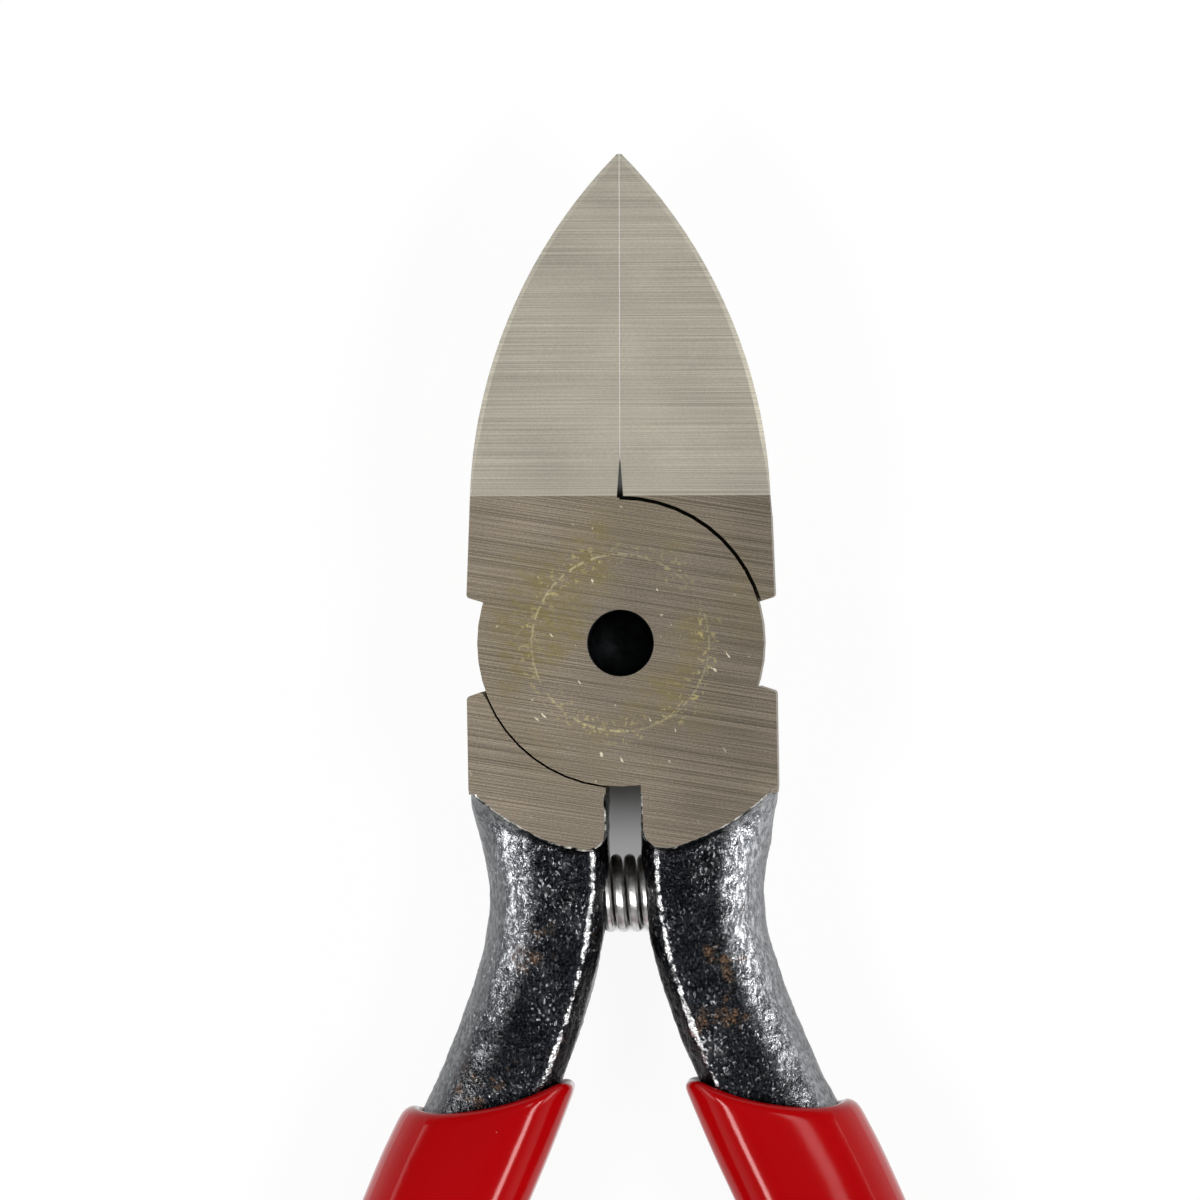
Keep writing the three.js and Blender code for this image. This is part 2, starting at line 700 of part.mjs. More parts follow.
// Finishes
const GROUND_STEEL = { color: 0x8f877b, roughness: 0.45, metalness: 0.9 };
const RIVET_STEEL = { color: 0x7d7464, roughness: 0.45, metalness: 0.9 };
const SPRING_STEEL = { color: 0xb8b8ba, roughness: 0.2, metalness: 1 };
const RED_VINYL = { color: 0xa80408, roughness: 0.2, metalness: 0 };

function piece(name, geometry, finish) {
  const mesh = new THREE.Mesh(geometry, new THREE.MeshStandardMaterial(finish));
  mesh.name = name;
  return mesh;
}

const nipper = new THREE.Group();
nipper.add(
  piece('front_half', geometryOf(half(FRONT)), GROUND_STEEL),
  piece('back_half', geometryOf(half(BACK)), GROUND_STEEL),
  piece('pivot_rivet', rivet(), RIVET_STEEL),
  piece('return_spring', returnSpring(), SPRING_STEEL),
  piece('right_grip', grip(FRONT), RED_VINYL),
  piece('left_grip', grip(BACK), RED_VINYL),
);

export default nipper;
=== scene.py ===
# %% [markdown]
# # A gate cutter in Blender
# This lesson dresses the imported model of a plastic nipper. The hinge and the solids come from the frame,
# and each piece made here keeps to the size and the place of its solid. What is added is what the eye
# sees: ground steel with its grind lines, black forging scale, a wound spring and glossy red sleeves.

# %% Load the frame
import math

import bmesh
import bpy
from mathutils import Matrix, Vector, noise
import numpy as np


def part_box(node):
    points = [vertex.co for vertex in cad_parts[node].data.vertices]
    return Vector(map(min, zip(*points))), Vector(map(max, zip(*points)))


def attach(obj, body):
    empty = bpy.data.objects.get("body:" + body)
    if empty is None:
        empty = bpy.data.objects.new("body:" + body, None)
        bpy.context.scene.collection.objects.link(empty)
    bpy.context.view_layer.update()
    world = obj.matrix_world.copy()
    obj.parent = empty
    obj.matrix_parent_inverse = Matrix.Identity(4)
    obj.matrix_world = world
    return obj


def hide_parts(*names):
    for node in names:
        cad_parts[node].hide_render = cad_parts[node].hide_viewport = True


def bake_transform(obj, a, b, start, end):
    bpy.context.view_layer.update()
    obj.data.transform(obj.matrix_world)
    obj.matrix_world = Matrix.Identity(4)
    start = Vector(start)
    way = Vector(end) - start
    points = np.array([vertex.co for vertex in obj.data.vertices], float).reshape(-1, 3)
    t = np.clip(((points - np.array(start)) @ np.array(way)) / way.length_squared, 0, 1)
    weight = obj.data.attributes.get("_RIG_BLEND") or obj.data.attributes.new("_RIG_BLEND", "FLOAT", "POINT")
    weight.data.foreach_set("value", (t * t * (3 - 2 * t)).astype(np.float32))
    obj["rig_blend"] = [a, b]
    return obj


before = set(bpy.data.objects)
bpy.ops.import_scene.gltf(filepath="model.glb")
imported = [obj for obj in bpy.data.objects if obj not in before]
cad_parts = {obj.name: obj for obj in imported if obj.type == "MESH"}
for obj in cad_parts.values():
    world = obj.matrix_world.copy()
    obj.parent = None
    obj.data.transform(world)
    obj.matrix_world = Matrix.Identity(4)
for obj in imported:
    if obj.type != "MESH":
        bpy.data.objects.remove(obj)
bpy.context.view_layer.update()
MM = 0.001

# %% [markdown]
# ## The camera
# The tool lies flat and is seen straight down, a touch from its right. A parallel view would hide the
# side walls and a near lens would spread the handles, so a long lens looks from far away. The tool is
# turned a fifth of a degree in the picture, and that small roll belongs to the camera, because the
# frame stays square.

# %% Camera
CAMERA_DISTANCE = 0.7
CAMERA_LEAN = math.radians(1.6)
CAMERA_ROLL = math.radians(-0.2)
SENSOR_WIDTH = 36
NEAREST = 0.01
VIEW_WIDTH = 77.4 * MM
AIM = Vector((-1.31, 2.71, 10.0)) * MM

camera = bpy.data.objects.new("camera", bpy.data.cameras.new("camera"))
bpy.context.scene.collection.objects.link(camera)
camera.data.sensor_width = SENSOR_WIDTH
camera.data.lens = SENSOR_WIDTH * CAMERA_DISTANCE / VIEW_WIDTH
camera.data.clip_start = NEAREST
camera.location = AIM + Vector((math.sin(CAMERA_LEAN), 0, math.cos(CAMERA_LEAN))) * CAMERA_DISTANCE
camera.rotation_euler = (0, CAMERA_LEAN, CAMERA_ROLL)
bpy.context.scene.camera = camera
bpy.context.scene.view_settings.view_transform = "Standard"
print("lens", round(camera.data.lens, 1), "mm")

# %% [markdown]
# ## Writing finishes as sums
# A finish is a small sum: a base colour, plus lines, minus stains. It could be wired by hand in the
# shader editor, but a sum is shorter to read and to change. The first class below wraps a socket so that
# such a sum can be written in Python, and each operator adds one Math node. All other nodes come from
# one method of the second class, which sets a node's settings first and then fills or links its sockets.


# %% Fields
class Field:
    """A socket in a finish, with the operators that the finishes below use."""

    def __init__(self, finish, socket):
        self.finish = finish
        self.socket = socket

    def math(self, operation, first, second):
        return self.finish.node("ShaderNodeMath", {"operation": operation}, {0: first, 1: second})

    def __add__(self, other):
        return self.math("ADD", self, other)

    def __sub__(self, other):
        return self.math("SUBTRACT", self, other)

    def __rsub__(self, other):
        return self.math("SUBTRACT", other, self)

    def __mul__(self, other):
        return self.math("MULTIPLY", self, other)

    __radd__ = __add__
    __rmul__ = __mul__


print("sums are written with", Field.__name__)


# %% Finishes
class Finish:
    """A material or world whose nodes are all made by one method."""

    def __init__(self, owner, place="Object"):
        owner.use_nodes = True
        self.owner = owner
        self.tree = owner.node_tree
        self.tree.nodes.clear()
        self.place = self.node("ShaderNodeTexCoord", out=place)

    def node(self, kind, settings=None, sockets=None, out=0):
        made = self.tree.nodes.new(kind)
        for name, value in (settings or {}).items():
            setattr(made, name, value)
        for key, value in (sockets or {}).items():
            if isinstance(value, Field):
                self.tree.links.new(value.socket, made.inputs[key])
            else:
                made.inputs[key].default_value = value
        return Field(self, made.outputs[out]) if made.outputs else None

    def axis(self, letter):
        return self.node("ShaderNodeSeparateXYZ", None, {0: self.place}, out=letter)

    def mark(self, name):
        """A value that the mesh keeps in each of its points."""
        return self.node("ShaderNodeAttribute", {"attribute_name": name}, None, out="Fac")

    def absolute(self, value):
        return self.node("ShaderNodeMath", {"operation": "ABSOLUTE"}, {0: value})

    def stretched(self, scale, turn=0.0, shift=(0, 0, 0)):
        turned = self.node("ShaderNodeMapping", None, {"Vector": self.place, "Rotation": (0, 0, turn)})
        return self.node("ShaderNodeMapping", None, {"Vector": turned, "Scale": scale, "Location": shift})

    def grain(self, where, scale=1.0, detail=2.0, rough=0.5):
        sockets = {"Vector": where, "Scale": scale, "Detail": detail, "Roughness": rough}
        return self.node("ShaderNodeTexNoise", None, sockets)

    def share(self, value, low, high, to_low=0.0, to_high=1.0):
        """A soft step: to_low where the value is at low, to_high where it is at high."""
        settings = {"interpolation_type": "SMOOTHSTEP"}
        limits = {0: value, 1: low, 2: high, 3: to_low, 4: to_high}
        return self.node("ShaderNodeMapRange", settings, limits)

    def patches(self, limits, where, scale=1.0, detail=2.0, rough=0.5):
        """Noise cut to soft patches between two limits."""
        return self.share(self.grain(where, scale, detail, rough), *limits)

    def mix(self, share, first, second):
        return self.node("ShaderNodeMix", {"data_type": "RGBA"}, {0: share, 6: first, 7: second}, out=2)

    def tint(self, colour, strength):
        sockets = {0: colour, "Scale": strength}
        return self.node("ShaderNodeVectorMath", {"operation": "SCALE"}, sockets)

    def bump(self, height, strength, distance):
        sockets = {"Height": height, "Strength": strength, "Distance": distance}
        return self.node("ShaderNodeBump", None, sockets)

    def close(self, sockets):
        shader = self.node("ShaderNodeBsdfPrincipled", None, sockets)
        self.node("ShaderNodeOutputMaterial", None, {"Surface": shader})
        return self.owner


def new_finish(name):
    return Finish(bpy.data.materials.new(name))


print("nodes are made by", Finish.__name__)

# %% [markdown]
# ## Ground steel
# The faces of the joint were ground with the two halves riveted together, so the lines run on across
# the rivet and both halves, a few degrees off level. The blade faces were ground afterwards, level, and
# are lighter and more even. A picture of brushed steel could be laid on the faces, but noise stretched
# along the stroke needs no picture and stays sharp close up. It comes in three widths, with single
# scores and fine specks. On the joint, light and shade are painted in: lighter on the left, darker on the
# right.

# %% Grind lines
JOINT_STROKE = math.radians(9.0)
BLADE_STROKE = 0.0
HEAD_REACH = 11.0 * MM
FINE_LINES = ((34, 13000, 300), (0, 0, 0), 1.0)
HAIR_LINES = ((80, 20000, 500), (4, 2, 0), 0.0)
BROAD_LINES = ((9, 3000, 80), (3, 5, 1), 1.0)
SINGLE_SCORES = ((12, 6000, 200), (9, 1, 2), 0.0)
FINE_PART, HAIR_PART, BROAD_PART = 0.48, 0.38, 0.14
LINE_LIMITS = (0.34, 0.66)
SPECK_LIMITS = (0.25, 0.75)
DARK_SCORES, DARK_DEPTH = (0.22, 0.17), 0.35
BRIGHT_SCORES, BRIGHT_GLINT = (0.79, 0.84), 0.30
CLOUD_LIGHT, CLOUD_CHANGE = 0.88, 0.24
GROUND_ROUGH, GROUND_CHANGE = 0.44, 0.12
LINE_BUMP = (0.30, 0.02 * MM)


def ground_steel(name, colour, stroke, contrast, specks, drift, oil):
    """Steel ground along one stroke. Contrast and specks say how far its tone varies; drift paints light and
    shade across it.
    """
    finish = new_finish(name)
    fine, hair, broad, scores = [
        finish.grain(finish.stretched(stretch, stroke, shift), detail=detail)
        for stretch, shift, detail in (FINE_LINES, HAIR_LINES, BROAD_LINES, SINGLE_SCORES)
    ]
    speckle = finish.grain(finish.place, 6500.0, 2.0, 0.7)
    cloud = finish.grain(finish.place, 170.0, 3.0)
    lines = fine * FINE_PART + hair * HAIR_PART + broad * BROAD_PART
    light = finish.share(lines, *LINE_LIMITS, 1 - contrast, 1 + contrast)
    light = light * (CLOUD_LIGHT + CLOUD_CHANGE * cloud)
    light = light * finish.share(speckle, *SPECK_LIMITS, 1 - specks, 1 + specks)
    light = light * (1 - DARK_DEPTH * finish.share(scores, *DARK_SCORES))
    light = light + BRIGHT_GLINT * finish.share(scores, *BRIGHT_SCORES)
    # Painted light and shade: the head is painted lighter on the left and darker on the right.
    light = light * finish.share(finish.axis("X"), -HEAD_REACH, HEAD_REACH, 1 + drift, 1 - drift)
    tone = finish.tint(colour, light)
    if oil:
        tone = oiled(finish, tone)
    rough = GROUND_ROUGH + GROUND_CHANGE * cloud
    normal = finish.bump(lines, *LINE_BUMP)
    return finish.close({"Base Color": tone, "Metallic": 1.0, "Roughness": rough, "Normal": normal})


print("grind lines turned by", round(math.degrees(JOINT_STROKE)), "degrees on the joint")

# %% [markdown]
# ## Old oil
# A yellowish film of oil stays round the rivet, where its rim stops it from being wiped off. It could be
# painted on, but the rim is a circle about the hinge, so the distance from the origin gives the broken
# ring, and noise gives the olive patches, the pale crust in them and the small bright nicks.

# %% Oil and the ground finishes
JOINT_COLOUR = (0.256, 0.217, 0.168)
BLADE_COLOUR = (0.498, 0.467, 0.388)
OLIVE = (0.250, 0.205, 0.080, 1)
CRUST = (0.56, 0.47, 0.22, 1)
RING = (0.60, 0.53, 0.31, 1)
NICK = (0.95, 0.88, 0.66, 1)
RIVET_RIM = 5.72 * MM
RING_WOBBLE = 0.16 * MM
RING_WIDTH = (0.03 * MM, 0.11 * MM)
CRUST_WIDTH = (0.2 * MM, 1.3 * MM)
OIL_REACH = (6.0 * MM, 11.0 * MM)
RING_FAINTER_RIGHT = (4.5 * MM, -1.0 * MM)


def oiled(finish, tone):
    """Old oil round the rivet: a thin broken ring, olive patches, pale crust and small bright nicks."""
    place = finish.place
    flat = finish.node("ShaderNodeVectorMath", {"operation": "MULTIPLY"}, {0: place, 1: (1, 1, 0)})
    reach = finish.node("ShaderNodeVectorMath", {"operation": "LENGTH"}, {0: flat}, out="Value")
    wobble = finish.grain(place, 420.0, 4.0) - 0.5
    off = finish.absolute(reach - RIVET_RIM + wobble * RING_WOBBLE)
    near = 1 - finish.share(off, *RING_WIDTH)
    rim_zone = 1 - finish.share(off, *CRUST_WIDTH)
    around = 1 - finish.share(reach, *OIL_REACH)
    # The ring is fainter towards the right.
    clearer = finish.share(finish.axis("X"), *RING_FAINTER_RIGHT, 0.45, 1.0)
    dotted = finish.patches((0.40, 0.56), place, 2100.0, 2.0, 0.7)
    kept = finish.patches((0.36, 0.54), place, 230.0, 2.0)
    film = finish.patches((0.38, 0.54), finish.stretched((150, 110, 150), 0.6))
    smear = finish.patches((0.42, 0.62), finish.stretched((700, 1500, 700), 0.3), 1.0, 4.0, 0.7)
    crust = finish.patches((0.55, 0.63), place, 2400.0, 3.0, 0.7)
    nicks = finish.patches((0.69, 0.74), finish.stretched((1100, 2300, 1100), 0.9), 1.0, 3.0)
    wet = film * around * (0.35 + 0.65 * smear)
    tone = finish.mix(wet * 0.75, tone, OLIVE)
    tone = finish.mix(crust * (rim_zone * kept + 0.30 * wet) * 0.70, tone, CRUST)
    tone = finish.mix(near * dotted * clearer * (0.25 + 0.5 * kept), tone, RING)
    return finish.mix(nicks * (0.25 + 0.75 * around) * 0.85, tone, NICK)


# The joint's drift paints light and shade across it; the blade has none.
joint_steel = ground_steel(
    "joint steel", JOINT_COLOUR, JOINT_STROKE, contrast=0.38, specks=0.16, drift=0.15, oil=True
)
blade_steel = ground_steel(
    "blade steel", BLADE_COLOUR, BLADE_STROKE, contrast=0.20, specks=0.07, drift=0.0, oil=False
)
print("ground finishes:", joint_steel.name, "and", blade_steel.name)

# %% [markdown]
# ## Worn edges, the bore and the wire
# Handling has rubbed the edges bright, the hole in the rivet is painted near black as shade, and the
# spring is bright drawn wire. Each could have a finish of its own, but all three are plain steel with a
# cloudy tone and are only a few pixels wide in the picture, so one function makes them from a colour
# and two limits.


# %% Small finishes
def plain_steel(name, colour, rough, scale, dark=0.55, light=1.25):
    """Bare steel whose tone goes from dark to light in patches."""
    finish = new_finish(name)
    cloud = finish.grain(finish.place, scale, 3.0, 0.6)
    tone = finish.tint(colour, finish.share(cloud, 0.36, 0.64, dark, light))
    normal = finish.bump(cloud, 0.15, 0.04 * MM)
    rough = rough + 0.1 * cloud
    return finish.close({"Base Color": tone, "Metallic": 1.0, "Roughness": rough, "Normal": normal})


worn_edge = plain_steel("worn edge", (0.86, 0.84, 0.78), 0.25, 1300.0, 0.10, 1.25)
# Painted shade: the hole of the rivet is painted near black.
painted_shade_bore = plain_steel("painted shade bore", (0.03, 0.032, 0.034), 0.45, 900.0)
spring_wire = plain_steel("spring wire", (0.62, 0.61, 0.60), 0.24, 1500.0, 0.8, 1.15)
print("small finishes:", worn_edge.name, painted_shade_bore.name, spring_wire.name)

# %% [markdown]
# ## Black forging scale
# The necks keep the skin of the forge: near black, hard and glossy, with thousands of small bright
# points painted into it: scale worn bare, and on the shoulder also painted highlights. The shape of that
# skin is in the mesh below, and the finish adds what is finer than the mesh. Where the skin is bare,
# rubbed or matte could be painted by hand. Here the mesh keeps it in three marks worked out from the line
# of the tang, so it is right on both halves: the ridge, worn bare and painted as a highlight too; the
# shoulder, rubbed and painted with a band of highlight, stronger on the right half and near the head;
# and the outer wall, rougher, and painted grey as a reflection of the white room. Rust shows where the
# scale has flaked.

# %% Scale
BLACK = (0.003, 0.003, 0.004, 1)
BLUE_BLACK = (0.013, 0.014, 0.017, 1)
WALL_REFLECTION_GREY = (0.17, 0.175, 0.183)
RUB_AND_HIGHLIGHT_GREY = (0.30, 0.31, 0.33, 1)
POINT_AND_HIGHLIGHT_GREY = (0.55, 0.56, 0.58, 1)
DAB_AND_HIGHLIGHT_GREY = (0.60, 0.61, 0.63, 1)
RUST = (0.15, 0.085, 0.045, 1)
BARE_STEEL_AND_HIGHLIGHT = (0.62, 0.62, 0.62, 1)
SCALE_BUMP = (0.6, 0.12 * MM)
WEAR_AND_LIGHT_MARKS = ("ridge", "rub_and_highlight", "wall")


def forging_scale():
    finish = new_finish("forging scale")
    ridge, rub_and_highlight, wall = [finish.mark(name) for name in WEAR_AND_LIGHT_MARKS]
    pits = finish.grain(finish.stretched((3800, 2600, 3800)), detail=3.0, rough=0.6)
    grit = finish.grain(finish.stretched((7600, 5200, 7600)), detail=2.0, rough=0.6)
    points = finish.patches((0.56, 0.65), finish.stretched((5600, 3600, 5600)))
    dabs = finish.patches((0.46, 0.60), finish.stretched((2600, 1300, 2600)), 1.0, 5.0, 0.8)
    worn = finish.patches((0.46, 0.66), finish.place, 360.0, 4.0, 0.65)
    rust = finish.patches((0.57, 0.69), finish.place, 230.0, 5.0, 0.75)
    cloud = finish.grain(finish.place, 230.0, 3.0)
    broken = finish.grain(finish.place, 1900.0, 4.0, 0.7) - 0.5
    # The ridge is worn bare and also painted as a highlight: a broken line of bright steel.
    bare_and_highlight = finish.share(ridge + 2.0 * broken + 1.2 * (cloud - 0.5), 0.60, 0.95)
    # Painted reflection: the outer wall is painted grey, as the white room would show on it; its higher
    # roughness is real.
    wall_reflection_tone = finish.tint(WALL_REFLECTION_GREY, finish.share(pits, 0.35, 0.65, 0.6, 1.4))
    tone = finish.mix(cloud, BLACK, BLUE_BLACK)
    tone = finish.mix(wall * 0.9, tone, wall_reflection_tone)
    # Painted highlight as well as rub: the shoulder band is painted lighter, with more points and dabs in
    # it.
    tone = finish.mix(rub_and_highlight * 0.36, tone, RUB_AND_HIGHLIGHT_GREY)
    tone = finish.mix(points * (0.05 + 0.48 * worn + 0.42 * rub_and_highlight), tone, POINT_AND_HIGHLIGHT_GREY)
    tone = finish.mix(dabs * (0.05 * worn + 0.75 * rub_and_highlight), tone, DAB_AND_HIGHLIGHT_GREY)
    tone = finish.mix(rust * 0.5, tone, RUST)
    tone = finish.mix(bare_and_highlight * finish.share(broken, -0.12, 0.10, 0.30, 0.85), tone, BARE_STEEL_AND_HIGHLIGHT)
    rough = 0.17 + 0.14 * worn + 0.2 * wall
    normal = finish.bump(pits + 0.5 * grit, *SCALE_BUMP)
    return finish.close({"Base Color": tone, "Metallic": 1.0, "Roughness": rough, "Normal": normal})


scale_finish = forging_scale()
print("made", scale_finish.name)

# %% [markdown]
# ## Red vinyl
# The sleeves are soft and very glossy. Their colour is almost even; what shows is the reflection of the
# white room on the rounded sides and a streak along the ridge of the tang. The streaks could be painted
# in, but then they would stay when the tool moves, so they are left to the lamps. The gloss is tinted
# and kept low, because the red is deep where it faces the eye.

# %% Vinyl
VINYL_RED = (0.310, 0.0006, 0.0016)
DUST = (0.6, 0.25, 0.22, 1)
VINYL_GLOSS = 0.26
GLOSS_TINT = (1.0, 0.68, 0.68, 1)
PEEL_BUMP = (0.04, 0.2 * MM)


def red_vinyl():
    finish = new_finish("red vinyl")
    cloud = finish.grain(finish.place, 120.0, 2.0)
    dust = finish.patches((0.80, 0.84), finish.place, 2300.0, 1.0)
    tone = finish.tint(VINYL_RED, CLOUD_LIGHT + CLOUD_CHANGE * cloud)
    tone = finish.mix(dust * 0.35, tone, DUST)
    normal = finish.bump(finish.grain(finish.place, 700.0, 2.0), *PEEL_BUMP)
    return finish.close({
        "Base Color": tone, "Roughness": 0.10 + 0.06 * cloud, "Normal": normal,
        "Specular IOR Level": VINYL_GLOSS, "Specular Tint": GLOSS_TINT,
    })


vinyl = red_vinyl()
print("made", vinyl.name)

# %% [markdown]
# ## From a solid to a piece
# A piece that keeps CAD faces starts from a copy of its solid. The solid is loose triangles, so the copy
# has its doubles merged before anything is done to it. The work is done in millimetres, because sizes are
# easier to read so, and is scaled to metres at the end. Edges sharper than a set angle are marked
# sharp, so that flats stay flat and round walls look round.

# %% Copies, cuts and unions
DOUBLES = 1e-4
ON_PLANE = 1e-5


def merged_copy(node):
    work = bmesh.new()
    work.from_mesh(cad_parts[node].data)
    bmesh.ops.scale(work, vec=(1 / MM,) * 3, verts=work.verts)
    bmesh.ops.remove_doubles(work, verts=work.verts, dist=DOUBLES)
    return work


def cut(work, place, facing):
    """Cut off what lies on the side that facing points to, and close the cut."""
    geometry = work.verts[:] + work.edges[:] + work.faces[:]
    made = bmesh.ops.bisect_plane(
        work, geom=geometry, dist=ON_PLANE, plane_co=place, plane_no=facing, clear_outer=True
    )
    edges = [item for item in made["geom_cut"] if isinstance(item, bmesh.types.BMEdge)]
    return bmesh.ops.holes_fill(work, edges=edges)["faces"]


def mesh_object(name, work, finishes=()):
    mesh = bpy.data.meshes.new(name)
    work.to_mesh(mesh)
    work.free()
    for finish in finishes:
        mesh.materials.append(finish)
    made = bpy.data.objects.new(name, mesh)
    bpy.context.scene.collection.objects.link(made)
    return made


def thrown_away(made):
    mesh = made.data
    bpy.data.objects.remove(made)
    bpy.data.meshes.remove(mesh)


def applied(made):
    """The object's mesh with its modifiers in it, as a bmesh; the object goes."""
    work = bmesh.new()
    work.from_object(made, bpy.context.evaluated_depsgraph_get())
    thrown_away(made)
    return work


def joined(first, second, finishes):
    """One closed skin round both, which keeps the faces' finishes."""
    base = mesh_object("base", first, finishes)
    added = mesh_object("added", second, finishes)
    union = base.modifiers.new("union", "BOOLEAN")
    union.operation = "UNION"
    union.solver = "MANIFOLD"
    union.object = added
    work = applied(base)
    thrown_away(added)
    return work


print("solids to copy:", len(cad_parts))

# %% Handing a piece over
SHARP_ANGLE = math.radians(26)
LEVEL = math.cos(math.radians(3))


def finished(name, work, finishes, body, replaced):
    """Scale to metres, mark the sharp edges and hand the piece to its body."""
    for face in work.faces:
        face.smooth = abs(face.normal.z) < LEVEL
    for edge in work.edges:
        edge.smooth = edge.calc_face_angle(math.pi) < SHARP_ANGLE
    bmesh.ops.scale(work, vec=(MM,) * 3, verts=work.verts)
    piece = mesh_object(name, work, finishes)
    if body:
        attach(piece, body)
    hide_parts(replaced)
    print(name, len(piece.data.polygons), "faces")
    return piece


print("edges are sharp past", round(math.degrees(SHARP_ANGLE)), "degrees")

# %% [markdown]
# ## The line of the tangs
# Both the necks and the sleeves follow the same tangs, so their line comes first: how far the middle of
# a tang is from the centre plane, how wide and how thick it is, at stations below the hinge. A Bezier
# curve could be drawn for it, but the pieces need the values at any station. So the stations are those of
# the part's own source, and the same smooth curve runs through them.

# %% Line of the tangs
OFFSETS = (
    (9.5, 5.565), (16.65, 5.05), (28.35, 8.5), (35.45, 11.95), (50.05, 17.3), (75.05, 20.6), (118.4, 20.0),
)
WIDTHS = ((9.5, 8.83), (16.65, 7.7), (28.35, 7.5), (75.05, 8.2), (118.4, 6.4))
THICKNESSES = ((9.5, 8.2), (16.65, 8.2), (28.35, 7.2), (75.05, 6.6), (118.4, 5.2))
MOUTH_STATION = 28.35
MID_HEIGHT = 5.0
HANDLE_LEAN = math.radians(0.8)
SLANT_STEP = 0.1
PLACE_ROUNDS = 3


def through(stations, at):
    """A smooth value through the stations, as in the part's own source."""
    count = len(stations)
    k = 0
    while k < count - 2 and at > stations[k + 1][0]:
        k += 1

    def rise(i):
        return (stations[i + 1][1] - stations[i][1]) / (stations[i + 1][0] - stations[i][0])

    def slope(i):
        if i in (0, count - 1):
            return rise(min(i, count - 2))
        before = stations[i][0] - stations[i - 1][0]
        after = stations[i + 1][0] - stations[i][0]
        return (rise(i) * before + rise(i - 1) * after) / (before + after)

    span = stations[k + 1][0] - stations[k][0]
    t = (at - stations[k][0]) / span
    left = (1 + 2 * t) * (1 - t) ** 2 * stations[k][1] + t * (1 - t) ** 2 * span * slope(k)
    right = t * t * (3 - 2 * t) * stations[k + 1][1] - t * t * (1 - t) * span * slope(k + 1)
    return left + right


def slant_at(below):
    """The angle between a tang and the centre plane."""
    drift = through(OFFSETS, below + SLANT_STEP) - through(OFFSETS, below - SLANT_STEP)
    return math.atan(drift / (2 * SLANT_STEP))


def on_tang(place):
    """Where a point is on its tang: how far below the hinge, and how far out from the tang's middle."""
    upright = Matrix.Rotation(-HANDLE_LEAN, 3, "Z") @ place
    below, out = -upright.y, 0.0
    for _ in range(PLACE_ROUNDS):
        below = max(below, OFFSETS[0][0])
        slant = slant_at(below)
        out = (abs(upright.x) - through(OFFSETS, below)) / math.cos(slant)
        below = -upright.y + out * math.sin(slant)
    return below, out


print("tang at the mouth:", round(through(OFFSETS, MOUTH_STATION), 2), "mm from the centre plane")

# %% [markdown]
# ## The forged necks
# Each half is one forging: blade, half of the lap joint, and handle. Its neck was left as forged. Bump in
# the finish alone would leave the outline and the end of the ground flat smooth, so the skin is made
# in the mesh, from the CAD neck. The flats are first raised, then the neck is remeshed in small even
# faces, smoothed and roughened with noise, and at last ground back to the true height by two cuts. So
# the bright flat ends where the rough skin dips below it, as on the real tool.

# %% Skin, wear and painted light
JOINT, BLADE, SCALE, WORN = range(4)
SKIN_BROAD = (0.45, 0.10)
SKIN_HAMMER = (1.5, 0.045)
HAMMER_FRACTAL = (1.0, 2.1, 3)
SKIN_GRIT = (4.2, 0.022)
GRIT_SHIFT = Vector((7, 3, 1))
FACE_START, FACE_FULL = 0.5, 2.5
RIDGE_IN = 1.0
RIDGE_REACH = 0.42
WALL_START, WALL_FULL = 0.62, 0.84
LEFT_RUB_AND_HIGHLIGHT = (0.12, 0.85, 0.75, 0.75)
RIGHT_RUB_AND_HIGHLIGHT = (0.18, 1.10, 0.97, 0.52)
RUB_AND_HIGHLIGHT_SOFT = 0.3
RUB_AND_HIGHLIGHT_FADE = (14.0, 29.0)


def fade(value, start, end):
    share = min(1.0, max(0.0, (value - start) / (end - start)))
    return share * share * (3 - 2 * share)


def skin_height(place):
    """How far the forged skin stands out at a place, in millimetres."""
    broad = noise.noise(place * SKIN_BROAD[0]) * SKIN_BROAD[1]
    hammer = noise.fractal(place * SKIN_HAMMER[0], *HAMMER_FRACTAL) * SKIN_HAMMER[1]
    grit = noise.noise(place * SKIN_GRIT[0] + GRIT_SHIFT) * SKIN_GRIT[1]
    return broad + hammer + grit


def mark_wear_and_light(work):
    """Keep in each point its nearness to the ridge, its rub and painted highlight, and if it is on the outer
    wall.
    """
    layers = work.verts.layers.float
    for name in WEAR_AND_LIGHT_MARKS:
        layers.new(name)
    ridge, rub_and_highlight, wall = [layers[name] for name in WEAR_AND_LIGHT_MARKS]
    for vert in work.verts:
        below, out = on_tang(vert.co)
        half_width = through(WIDTHS, below) / 2
        facing = fade(abs(vert.co.z - MID_HEIGHT), FACE_START, FACE_FULL)
        # The ridge mark places bare steel that is also a painted highlight.
        vert[ridge] = facing * (1 - fade(abs(out + half_width - RIDGE_IN), 0.0, RIDGE_REACH))
        # The shoulder band is painted highlight as well as rub: stronger on the right half, fading down the
        # neck.
        start, end, most, lost = RIGHT_RUB_AND_HIGHLIGHT if vert.co.x > 0 else LEFT_RUB_AND_HIGHLIGHT
        outward = out / half_width
        shoulder = fade(outward, start, start + RUB_AND_HIGHLIGHT_SOFT) * (1 - fade(outward, end - RUB_AND_HIGHLIGHT_SOFT, end))
        vert[rub_and_highlight] = most * shoulder * facing * (1 - lost * fade(below, *RUB_AND_HIGHLIGHT_FADE))
        vert[wall] = fade(outward, WALL_START, WALL_FULL)


